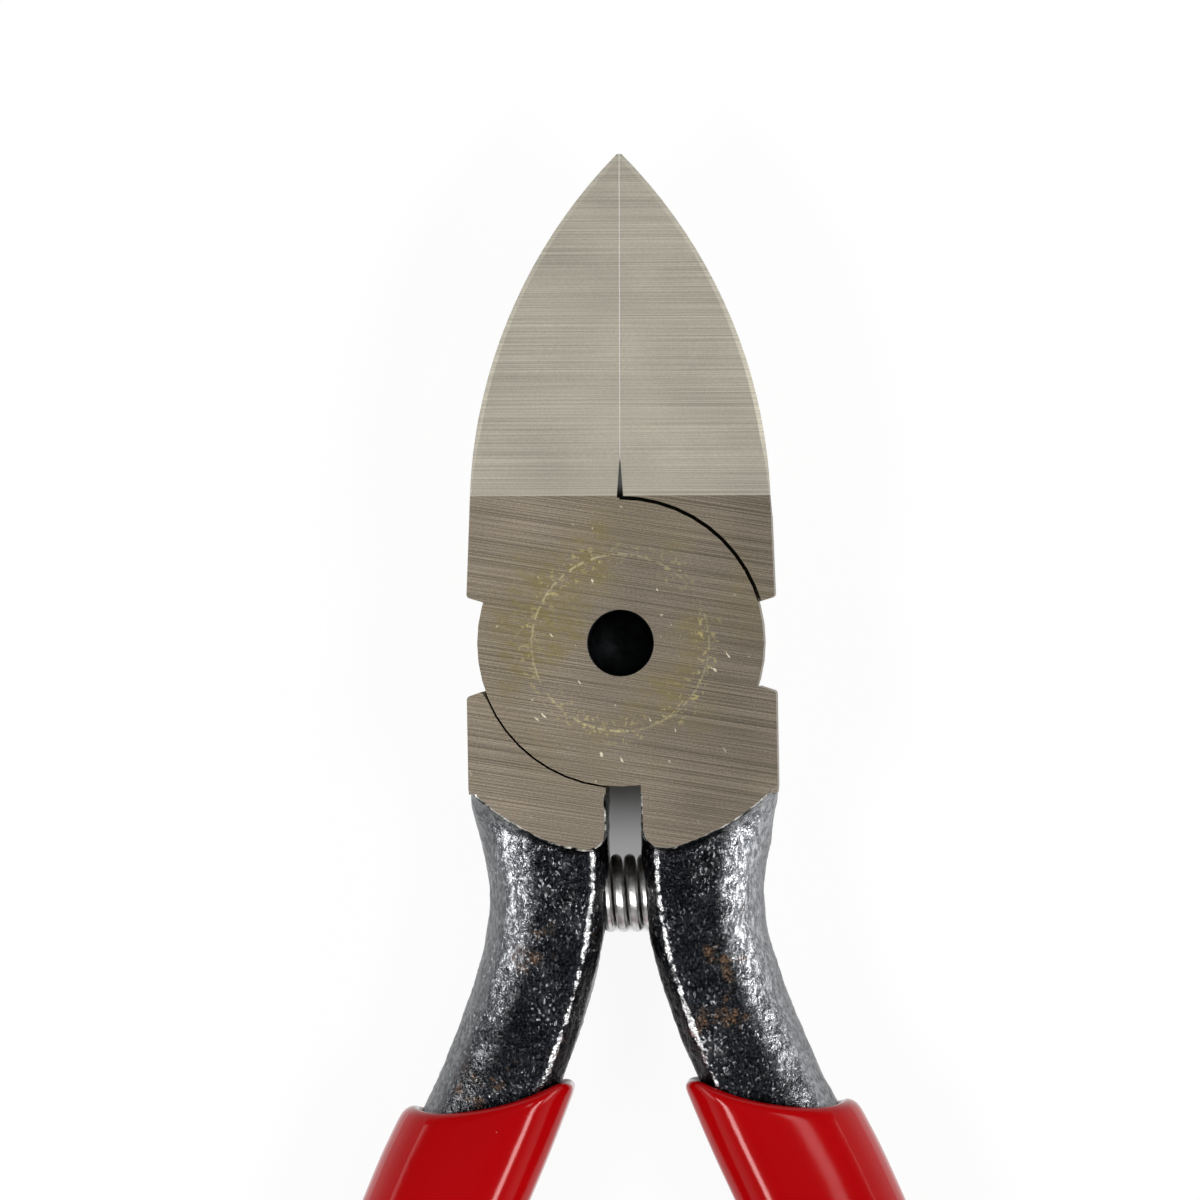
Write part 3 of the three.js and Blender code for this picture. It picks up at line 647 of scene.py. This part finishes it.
def break_edges(work, edges, size, clamp):
    """Bevel edges as wear does, and give the new faces the worn finish."""
    made = bmesh.ops.bevel(
        work, geom=edges, offset=size, offset_type="OFFSET", segments=1, profile=0.5,
        affect="EDGES", material=-1, clamp_overlap=clamp,
    )
    for face in made["faces"]:
        face.material_index = WORN


print("skin, in mm: waves", SKIN_BROAD[1], "hammer marks", SKIN_HAMMER[1], "grit", SKIN_GRIT[1])

# %% Necks
JOINT_TOP = 10.0
FLAT_MARGIN = 0.01
FLAT_RAISE = 0.7
HEAD_END = -9.7
NECK_START = -9.0
NECK_END = -34.0
NECK_SPARE = 1
SKIN_FACE = 0.16
SKIN_SMOOTHING = 6
SHOULDER_SMOOTHING = 60
SHOULDER_START = 6.4
SHOULDER_END = -15.5
ROOT_FADE = 0.8
END_FADE_START, END_FADE_FULL = 0.3, 2
END_INSET = 0.08
RIM_BREAK = 0.11
RIM_MARGIN = 0.1


def on_flat(height):
    """Whether a height is that of a ground face of the joint."""
    return height > JOINT_TOP - FLAT_MARGIN or height < FLAT_MARGIN


def smoothed(work, verts):
    bmesh.ops.smooth_vert(work, verts=verts, factor=0.5, use_axis_x=True, use_axis_y=True, use_axis_z=True)


def forged_neck(node):
    work = merged_copy(node)
    cut(work, (0, NECK_START, 0), (0, 1, 0))
    cut(work, (0, NECK_END - NECK_SPARE, 0), (0, -1, 0))
    for vert in work.verts:
        if on_flat(vert.co.z):
            vert.co.z += math.copysign(FLAT_RAISE, vert.co.z - MID_HEIGHT)
    made = mesh_object("neck", work)
    remesh = made.modifiers.new("even faces", "REMESH")
    remesh.mode = "VOXEL"
    remesh.voxel_size = SKIN_FACE
    work = applied(made)
    for _ in range(SKIN_SMOOTHING):
        smoothed(work, work.verts)
    shoulder = [vert for vert in work.verts if abs(vert.co.x) > SHOULDER_START and vert.co.y > SHOULDER_END]
    for _ in range(SHOULDER_SMOOTHING):
        smoothed(work, shoulder)
    work.normal_update()
    mark_wear_and_light(work)
    for vert in work.verts:
        root = fade(-vert.co.y, -HEAD_END, -HEAD_END + ROOT_FADE)
        above_end = fade(vert.co.y, NECK_END + END_FADE_START, NECK_END + END_FADE_FULL)
        vert.co += vert.normal * (skin_height(vert.co) * root * above_end - END_INSET * (1 - above_end))
    cut(work, (0, HEAD_END, 0), (0, 1, 0))
    cut(work, (0, NECK_END, 0), (0, -1, 0))
    flats = cut(work, (0, 0, JOINT_TOP), (0, 0, 1)) + cut(work, (0, 0, 0), (0, 0, -1))
    rims = dict.fromkeys(edge for face in flats for edge in face.edges)
    rims = [edge for edge in rims if min(vert.co.y for vert in edge.verts) < HEAD_END - RIM_MARGIN]
    break_edges(work, rims, RIM_BREAK, clamp=False)
    return work


print("necks from", NECK_START, "to", NECK_END, "mm")

# %% [markdown]
# ## The ground heads
# The blade and the joint of a half were milled and ground, so they keep the crisp CAD faces. They could
# be modelled again, but a copy of the solid is already right. It gets fine broken edges that catch the
# light. The solids stand a little apart, so the recess is drawn in round the other half's disc and the
# cutting edges are brought together, as close as they look on the real tool.

# %% Heads
BLADE_ROOT = 9.5
RELIEF_END = 12.0
HEAD_SPARE = 0.05
FLAT_ANGLE = math.radians(0.3)
EDGE_ANGLE = math.radians(40)
EDGE_ZONE = 0.3
EDGE_WALL = 0.08
EDGE_GAP = 0.016
EDGE_BREAK = 0.045
BLADE_BREAK = 0.13
FLANK_OUT = 1
FLANK_HEIGHT = 9
RECESS_RADIUS = 9.55
RECESS_MARGIN = 0.02
RECESS_ABOVE = 9.49
RECESS_BELOW = 9.38


def cutting_edge(edge):
    return all(abs(vert.co.x) < EDGE_ZONE and vert.co.y > BLADE_ROOT for vert in edge.verts)


def blade_flank(edge):
    """An outer edge of the blade's flush face."""
    return all(
        vert.co.y > BLADE_ROOT and abs(vert.co.x) > FLANK_OUT and vert.co.z > FLANK_HEIGHT
        for vert in edge.verts
    )


def close_recess(work):
    """Draw in the wall round the other half's disc. The real gap is finer below the hinge than above it."""
    for vert in work.verts:
        reach = vert.co.xy.length
        if abs(reach - RECESS_RADIUS) < RECESS_MARGIN:
            wanted = RECESS_ABOVE if vert.co.y > 0 else RECESS_BELOW
            vert.co.xy = vert.co.xy * (wanted / reach)


def ground_head(node):
    work = merged_copy(node)
    close_recess(work)
    cut(work, (0, HEAD_END - HEAD_SPARE, 0), (0, -1, 0))
    bmesh.ops.dissolve_limit(work, angle_limit=FLAT_ANGLE, verts=work.verts, edges=work.edges)
    for vert in work.verts:
        if abs(vert.co.x) < EDGE_WALL and vert.co.y > RELIEF_END:
            vert.co.x = math.copysign(EDGE_GAP, vert.co.x)
    work.normal_update()
    sharp = [
        edge for edge in work.edges
        if edge.is_manifold and edge.is_convex and edge.calc_face_angle() > EDGE_ANGLE
        and min(vert.co.y for vert in edge.verts) > HEAD_END and not cutting_edge(edge)
    ]
    wide = [edge for edge in sharp if blade_flank(edge)]
    fine = [edge for edge in sharp if not blade_flank(edge)]
    for edges, size in ((wide, BLADE_BREAK), (fine, EDGE_BREAK)):
        break_edges(work, [edge for edge in edges if edge.is_valid], size, clamp=True)
    print(node, "edges broken:", len(sharp))
    return work


print("blades start", BLADE_ROOT, "mm above the hinge")

# %% [markdown]
# ## Joining the halves
# Head, neck and tang are one forging, so they become one closed skin. The three could be left pushed
# into each other, but then faces would be hidden inside. Unions leave hair-thin faces and, here and there,
# two faces back to back, so these are closed up and taken off before the finishes are given out.

# %% Halves
TANG_SPARE = 0.1
SLIVER = 0.003
WELD = 0.0005


def tang(node):
    work = merged_copy(node)
    cut(work, (0, NECK_END + TANG_SPARE, 0), (0, 1, 0))
    return work


def folded(face):
    """Whether a face has three corners or more in common with one of its neighbours."""
    corners = set(face.verts)
    near = {other for edge in face.edges for other in edge.link_faces if other is not face}
    return any(len(corners.intersection(other.verts)) > 2 for other in near)


def without_slivers(work):
    """Close up the hair-thin faces that the unions leave, and take off flaps of two faces back to back."""
    bmesh.ops.remove_doubles(work, verts=work.verts, dist=WELD)
    bmesh.ops.dissolve_degenerate(work, dist=SLIVER, edges=work.edges)
    doubtful = [face for face in work.faces if len(face.verts) > 4 or folded(face)]
    bmesh.ops.triangulate(work, faces=doubtful, quad_method="BEAUTY", ngon_method="BEAUTY")
    alike = {}
    for face in work.faces:
        alike.setdefault(frozenset(face.verts), []).append(face)
    flaps = [face for faces in alike.values() if len(faces) > 1 for face in faces]
    bmesh.ops.delete(work, geom=flaps, context="FACES")
    loose = [edge for edge in work.edges if edge.is_wire]
    bmesh.ops.delete(work, geom=loose, context="EDGES")
    print("faces of flaps taken off:", len(flaps), "loose edges:", len(loose))
    bmesh.ops.holes_fill(work, edges=[edge for edge in work.edges if edge.is_boundary])
    work.normal_update()


def finish_of(face):
    """The finish of a face that isn't worn."""
    middle = face.calc_center_median()
    if middle.y > BLADE_ROOT:
        return BLADE
    ground = abs(face.normal.z) > LEVEL and on_flat(middle.z)
    if middle.y > HEAD_END or ground:
        return JOINT
    return SCALE


def half(node, body):
    finishes = [joint_steel, blade_steel, scale_finish, worn_edge]
    work = joined(ground_head(node), forged_neck(node), finishes)
    work = joined(work, tang(node), finishes)
    without_slivers(work)
    for face in work.faces:
        if face.material_index != WORN:
            face.material_index = finish_of(face)
    return finished(node + "_dressed", work, finishes, body, node)


half("front_half", "front")
half("back_half", "back")

# %% [markdown]
# ## The rivet
# The rivet was set and then ground flush with both faces, so only a faint ring shows. A cylinder with a
# cut hole would do for the picture, but a profile spun round the hinge axis has all of it in one step: a
# wide head at each end, a thinner shank, and the blind hole in the front.

# %% Rivet
RIVET_PROFILE = (
    (0.0, 0.0), (5.74, 0.0), (4.24, 1.6), (4.24, 8.4), (5.74, 10.0),
    (2.16, 10.0), (2.12, 9.96), (2.12, 4.0), (0.0, 2.9),
)
RIVET_STEPS = 96
HOLE_RADIUS = 2.3
END_MARGIN = 0.001


def pivot_rivet():
    work = bmesh.new()
    verts = [work.verts.new((radius, 0, height)) for radius, height in RIVET_PROFILE]
    edges = [work.edges.new(pair) for pair in zip(verts, verts[1:])]
    bmesh.ops.spin(
        work, geom=verts + edges, cent=(0, 0, 0), axis=(0, 0, 1), angle=2 * math.pi,
        steps=RIVET_STEPS, use_merge=True,
    )
    bmesh.ops.remove_doubles(work, verts=work.verts, dist=DOUBLES)
    bmesh.ops.recalc_face_normals(work, faces=work.faces)
    for face in work.faces:
        middle = face.calc_center_median()
        between = END_MARGIN < middle.z < JOINT_TOP - END_MARGIN
        # The walls and floor of the hole take the painted shade.
        if between and middle.xy.length < HOLE_RADIUS:
            face.material_index = 1
    finishes = [joint_steel, painted_shade_bore]
    return finished("pivot_rivet_dressed", work, finishes, "front", "pivot_rivet")


pivot_rivet()

# %% [markdown]
# ## The return spring
# The spring is one wire. A Screw modifier could wind it, but the spin operator does it in the mesh: a
# round section is spun about the spring's axis while it moves along it, which is what dvec is for. Both
# ends are hidden in the necks and are closed with a flat face. The spring is soft, so it is blended from
# one half to the other and follows both when the tool opens.

# %% Spring
SPRING_PLACE = Vector((0, -16.25, 5.0))
SPRING_RADIUS = 2.16
WIRE_RADIUS = 0.385
WIRE_SIDES = 12
SPRING_REACH = 5.0
TURNS = 11.5
TURN_STEPS = 40


def return_spring():
    work = bmesh.new()
    bmesh.ops.create_circle(work, cap_ends=True, segments=WIRE_SIDES, radius=WIRE_RADIUS)
    bmesh.ops.translate(work, vec=(-SPRING_REACH, SPRING_RADIUS, 0), verts=work.verts)
    steps = int(TURNS * TURN_STEPS)
    bmesh.ops.spin(
        work, geom=work.verts[:] + work.edges[:] + work.faces[:], cent=(0, 0, 0), axis=(1, 0, 0),
        dvec=(2 * SPRING_REACH / steps, 0, 0), angle=2 * math.pi * TURNS, steps=steps, use_merge=False,
    )
    bmesh.ops.remove_doubles(work, verts=work.verts, dist=DOUBLES)
    bmesh.ops.recalc_face_normals(work, faces=work.faces)
    place = Matrix.Rotation(HANDLE_LEAN, 4, "Z") @ Matrix.Translation(SPRING_PLACE)
    bmesh.ops.transform(work, matrix=place, verts=work.verts)
    piece = finished("return_spring_dressed", work, [spring_wire], None, "return_spring")
    low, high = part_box("return_spring")
    middle = [(a + b) / 2 for a, b in zip(low, high)]
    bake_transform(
        piece, "back", "front",
        start=(low[0], middle[1], middle[2]), end=(high[0], middle[1], middle[2]),
    )
    return piece


return_spring()

# %% [markdown]
# ## The red sleeves
# A sleeve follows its tang: an upright inner side, a slope up to a soft ridge, a gently flat top and a
# rounded outer side. The CAD sleeve is faceted, and smoothing it would lose its lip. So a circle of
# points is shaped into that section and extruded down the handle, ring by ring, then over the rounded
# end. From the mouth it is also extruded inwards, round the lip and down the cavity. A Subdivision
# Surface rounds all of it, so few points are needed.

# %% Section of a sleeve
WALL = 1.15
CLEARANCE = 0.2
SKIN = WALL + CLEARANCE
RIDGE_SET_BACK, SET_BACK_GROWTH = 1.0, 0.6
RIDGE_DROP, DROP_GROWTH = 1.5, 0.7
OUTER_ROUND = 2.3


def sleeve_section(below, grow):
    """The sleeve's section at a station: points across and up, from the inner side over the top."""
    wide = through(WIDTHS, below)
    high = through(THICKNESSES, below) / 2 + grow
    inner = -wide / 2 - grow
    outer = wide / 2 + grow
    back_set = RIDGE_SET_BACK + SET_BACK_GROWTH * grow
    drop = RIDGE_DROP + DROP_GROWTH * grow
    round_off = OUTER_ROUND + grow
    soft = fade(grow, CLEARANCE, WALL)
    side = [(inner, 0.0), (inner, 0.5 * (high - drop)), (inner, high - drop)]
    ridge = [
        (inner + (0.5 - 0.14 * soft) * back_set, high - (0.55 + 0.06 * soft) * drop),
        (inner + (1 - 0.25 * soft) * back_set, high - 0.25 - 0.55 * soft),
        (inner + back_set + 1.1 - 0.7 * soft, high - 0.3 * soft),
    ]
    top = [(0.5 * (inner + back_set + outer - round_off), high - 0.06), (outer - round_off, high - 0.36)]
    rounded = [(outer - round_off * 0.5, high * 0.83), (outer - round_off * 0.13, high * 0.5), (outer, 0.0)]
    over = side + ridge + top + rounded
    under = [(across, -up) for across, up in over[-2:0:-1]]
    return over + under


print("points in a section:", len(sleeve_section(MOUTH_STATION, WALL)))

# %% Rings of a sleeve
RIM_STATIONS = (28.5, 28.5, 28.45, 28.3, 28.75, 29.2, 29.8, 30.2, 30.25, 30.0, 29.75)
RIM_STATIONS += RIM_STATIONS[-2:0:-1]
RIM_FLARE = 0.3
RIM_TUCK = 0.35
RIM_HALF_WIDTH = 5
FLARE_LENGTH = 7.0
RING_ROUNDS = 4


def sleeve_ring(side, below, grow, scale=1.0, drop=0.0, level=1.0, tuck=0.0):
    """One ring of the sleeve. Near the mouth (level 0) each point keeps its place under the wavy lip."""
    ring = []
    for k, lip in enumerate(RIM_STATIONS):
        wanted = level * below + (1 - level) * (lip + drop)
        station = wanted
        for _ in range(RING_ROUNDS):
            slant = slant_at(station)
            across, up = sleeve_section(station, grow)[k]
            past = min(1.0, max(0.0, (station - RIM_STATIONS[0]) / FLARE_LENGTH))
            near = (1 - past) ** 2
            across += near * (RIM_FLARE - tuck) * max(0.0, across) / RIM_HALF_WIDTH
            across -= near * tuck * min(0.0, across) / RIM_HALF_WIDTH
            station = wanted + (1 - level) * across * math.sin(slant)
        x = through(OFFSETS, station) + across * scale * math.cos(slant)
        y = -station + across * scale * math.sin(slant)
        ring.append(Vector((side * x, y, MID_HEIGHT + up * scale)))
    return ring


print("the lip lies", min(RIM_STATIONS), "to", max(RIM_STATIONS), "mm below the hinge")

# %% Walls of a sleeve
OUTER_LIP = ((0.95, 0.0), (1.25, 0.2), (SKIN, 0.6), (SKIN, 1.2), (SKIN, 2.3))
INNER_LIP = ((0.62, 0.0), (0.32, 0.16), (CLEARANCE, 0.5), (CLEARANCE, 1.1), (CLEARANCE, 2.2))
BELOW_LIP = ((33.4, 0.4), (36.0, 0.85))
BELOW_LIP_DROP = 4.0
RUN = (40, 45, 51, 58, 66, 75, 84, 93, 102, 109)
TANG_END = 116.0
END_BELOW = 118.4
END_ROUND = 5.0
END_TURNS = (22, 44, 64, 80)
END_FULLNESS = 0.8


def mouth_rings(side, lip, grow, tuck):
    rings = [sleeve_ring(side, 0, wall, drop=drop, level=0.0, tuck=tuck) for wall, drop in lip]
    for below, level in BELOW_LIP:
        rings.append(sleeve_ring(side, below, grow, drop=BELOW_LIP_DROP, level=level, tuck=tuck))
    return rings


def outer_rings(side):
    round_start = END_BELOW - END_ROUND
    rings = mouth_rings(side, OUTER_LIP, SKIN, RIM_TUCK)
    rings += [sleeve_ring(side, below, SKIN) for below in RUN + (round_start,)]
    for turn in END_TURNS:
        angle = math.radians(turn)
        below = round_start + END_ROUND * math.sin(angle)
        rings.append(sleeve_ring(side, below, SKIN, scale=math.cos(angle) ** END_FULLNESS))
    return rings


def inner_rings(side):
    rings = mouth_rings(side, INNER_LIP, CLEARANCE, 0.0)
    return rings + [sleeve_ring(side, below, CLEARANCE) for below in RUN + (TANG_END,)]


print("rings of a sleeve:", len(outer_rings(1)), "outside and", len(inner_rings(1)), "inside")

# %% Sleeves
SUBDIVISIONS = 2


def next_ring(work, verts, ring):
    """Extrude a ring of edges and move the new points to their places."""
    edges = [work.edges.get(pair) for pair in zip(verts, verts[1:] + verts[:1])]
    made = bmesh.ops.extrude_edge_only(work, edges=edges)["geom"]
    fresh = [item for item in made if isinstance(item, bmesh.types.BMVert)]
    partner = {}
    for vert in fresh:
        for edge in vert.link_edges:
            other = edge.other_vert(vert)
            if other in verts:
                partner[other] = vert
    moved = [partner[vert] for vert in verts]
    for vert, place in zip(moved, ring):
        vert.co = place
    return moved


def sleeve(node, side, body):
    work = bmesh.new()
    first, *outside = outer_rings(side)
    lip = list(bmesh.ops.create_circle(work, segments=len(RIM_STATIONS), radius=1.0)["verts"])
    for vert, place in zip(lip, first):
        vert.co = place
    for rings in (outside, inner_rings(side)):
        verts = lip
        for ring in rings:
            verts = next_ring(work, verts, ring)
        bmesh.ops.contextual_create(work, geom=verts)
    bmesh.ops.recalc_face_normals(work, faces=work.faces)
    bmesh.ops.rotate(work, cent=(0, 0, 0), matrix=Matrix.Rotation(HANDLE_LEAN, 3, "Z"), verts=work.verts)
    piece = finished(node + "_dressed", work, [vinyl], body, node)
    soft = piece.modifiers.new("soft", "SUBSURF")
    soft.levels = SUBDIVISIONS
    soft.render_levels = SUBDIVISIONS
    return piece


sleeve("left_grip", -1, "back")
sleeve("right_grip", 1, "front")

# %% [markdown]
# ## The stage
# The tool lies on a white sheet in a white room. More light would make the sheet white but would wash
# out the steel, so the light stays plain and the camera sees the sheet partly as white of its own. The
# sheet keeps a soft shadow. In two narrow gaps of the tool, the notch above the joint and the slot above
# the spring, that white of its own is taken away so that the shadow shows, and some of it is left in, in
# the notch's upper part and more towards the slot's lower end. Under the notch the sheet is also painted
# near black, a painted shadow.

# %% Floor
FLOOR_SIZE = 3.0
FLOOR_DROP = 0.2 * MM
SHEET_WHITE = (0.86, 0.86, 0.86, 1)
NOTCH_PAINTED_SHADOW = (0.02, 0.02, 0.02, 1)
OWN_WHITE = 0.93
NOTCH_LEFT = (-0.9 * MM, -0.6 * MM)
NOTCH_RIGHT = (4.1 * MM, 3.8 * MM)
NOTCH_LOW = (8.0 * MM, 8.4 * MM)
NOTCH_HIGH = (12.6 * MM, 11.7 * MM)
NOTCH_PALER = (9.6 * MM, 10.6 * MM)
SLOT_SIDES = (2.6 * MM, 2.2 * MM)
SLOT_HIGH = (-8.0 * MM, -9.2 * MM)
SLOT_LOW = (-19.0 * MM, -18.4 * MM)
SLOT_PALER = (-8.8 * MM, -14.0 * MM)


def white_sheet(name):
    """White for the camera, but as light as the shadow leaves it under narrow gaps; painted shadow under the
    notch.
    """
    finish = new_finish(name)
    rays = ("Is Camera Ray", "Is Glossy Ray", "Is Transmission Ray")
    seen = sum(finish.node("ShaderNodeLightPath", None, None, out=ray) for ray in rays)
    across, along = finish.axis("X"), finish.axis("Y")
    notch = finish.share(across, *NOTCH_LEFT) * finish.share(across, *NOTCH_RIGHT)
    notch = notch * finish.share(along, *NOTCH_LOW) * finish.share(along, *NOTCH_HIGH)
    slot = finish.share(finish.absolute(across), *SLOT_SIDES) * finish.share(along, *SLOT_HIGH)
    slot = slot * finish.share(along, *SLOT_LOW) * finish.share(along, *SLOT_PALER, 1.0, 0.7)
    # Some glow is left in the upper notch and more towards the slot's lower end: painted light in their
    # shade.
    clear = OWN_WHITE * (1 - notch * finish.share(along, *NOTCH_PALER, 1.0, 0.92)) * (1 - slot)
    # Painted shadow: the sheet under the notch is painted near black.
    tone = finish.mix(notch, SHEET_WHITE, NOTCH_PAINTED_SHADOW)
    sheet = finish.node("ShaderNodeBsdfDiffuse", None, {"Color": tone})
    glow = finish.node("ShaderNodeEmission", None, {"Color": (1, 1, 1, 1), "Strength": 1.0})
    mixed = finish.node("ShaderNodeMixShader", None, {0: seen * clear, 1: sheet, 2: glow})
    finish.node("ShaderNodeOutputMaterial", None, {"Surface": mixed})
    return finish.owner


work = bmesh.new()
bmesh.ops.create_grid(work, x_segments=1, y_segments=1, size=FLOOR_SIZE / 2)
bmesh.ops.translate(work, vec=(0, 0, -FLOOR_DROP), verts=work.verts)
floor = mesh_object("floor", work, [white_sheet("white sheet")])
print("floor", FLOOR_SIZE, "m wide")

# %% [markdown]
# ## The light
# A white room lights the tool from low down and is dim overhead, so that the flat steel, which faces up,
# stays darker than the room. One large lamp would light it too, but would leave the round forms dull.
# So long softboxes stand on both sides: they draw the bright bands on the necks and the streaks on the
# sleeves.

# %% Room
ROOM_HEIGHTS = (0.10, 0.62)
LOW_LIGHT, HIGH_LIGHT = 0.9, 0.12


def white_room():
    """White for the camera. For the light it is dim overhead and bright low down."""
    world = bpy.data.worlds.new("room")
    bpy.context.scene.world = world
    finish = Finish(world, "Generated")
    level = finish.share(finish.axis("Z"), *ROOM_HEIGHTS, LOW_LIGHT, HIGH_LIGHT)
    seen = finish.node("ShaderNodeLightPath", None, None, out="Is Camera Ray")
    strength = seen + (1 - seen) * level
    light = finish.node("ShaderNodeBackground", None, {"Color": (1, 1, 1, 1), "Strength": strength})
    finish.node("ShaderNodeOutputWorld", None, {"Surface": light})
    return world


print("room", white_room().name)

# %% Lamps
LAMP_TARGET = Vector((0, 0, 0))
LAMPS = {
    "overhead": ((-0.05, 0.05, 0.95), (0.5, 0.5), 0.05),
    "left": ((-0.42, -0.21, 0.55), (0.34, 0.12), 2.6),
    "right": ((0.42, -0.21, 0.55), (0.34, 0.12), 2.5),
    "right wall": ((0.62, 0.0, 0.34), (0.5, 0.20), 2.0),
    "left wall": ((-0.62, 0.0, 0.34), (0.5, 0.20), 1.2),
    "right high": ((0.27, 0.11, 0.86), (0.22, 0.10), 0.40),
}


def softbox(name, place, size, power):
    lamp = bpy.data.lights.new(name, "AREA")
    lamp.shape = "RECTANGLE"
    lamp.size, lamp.size_y = size
    lamp.energy = power
    made = bpy.data.objects.new(name, lamp)
    made.location = place
    made.rotation_euler = (LAMP_TARGET - Vector(place)).to_track_quat("-Z", "Y").to_euler()
    made.visible_camera = False
    bpy.context.scene.collection.objects.link(made)


for name, (place, size, power) in LAMPS.items():
    softbox(name, place, size, power)
print("lamps:", ", ".join(LAMPS))
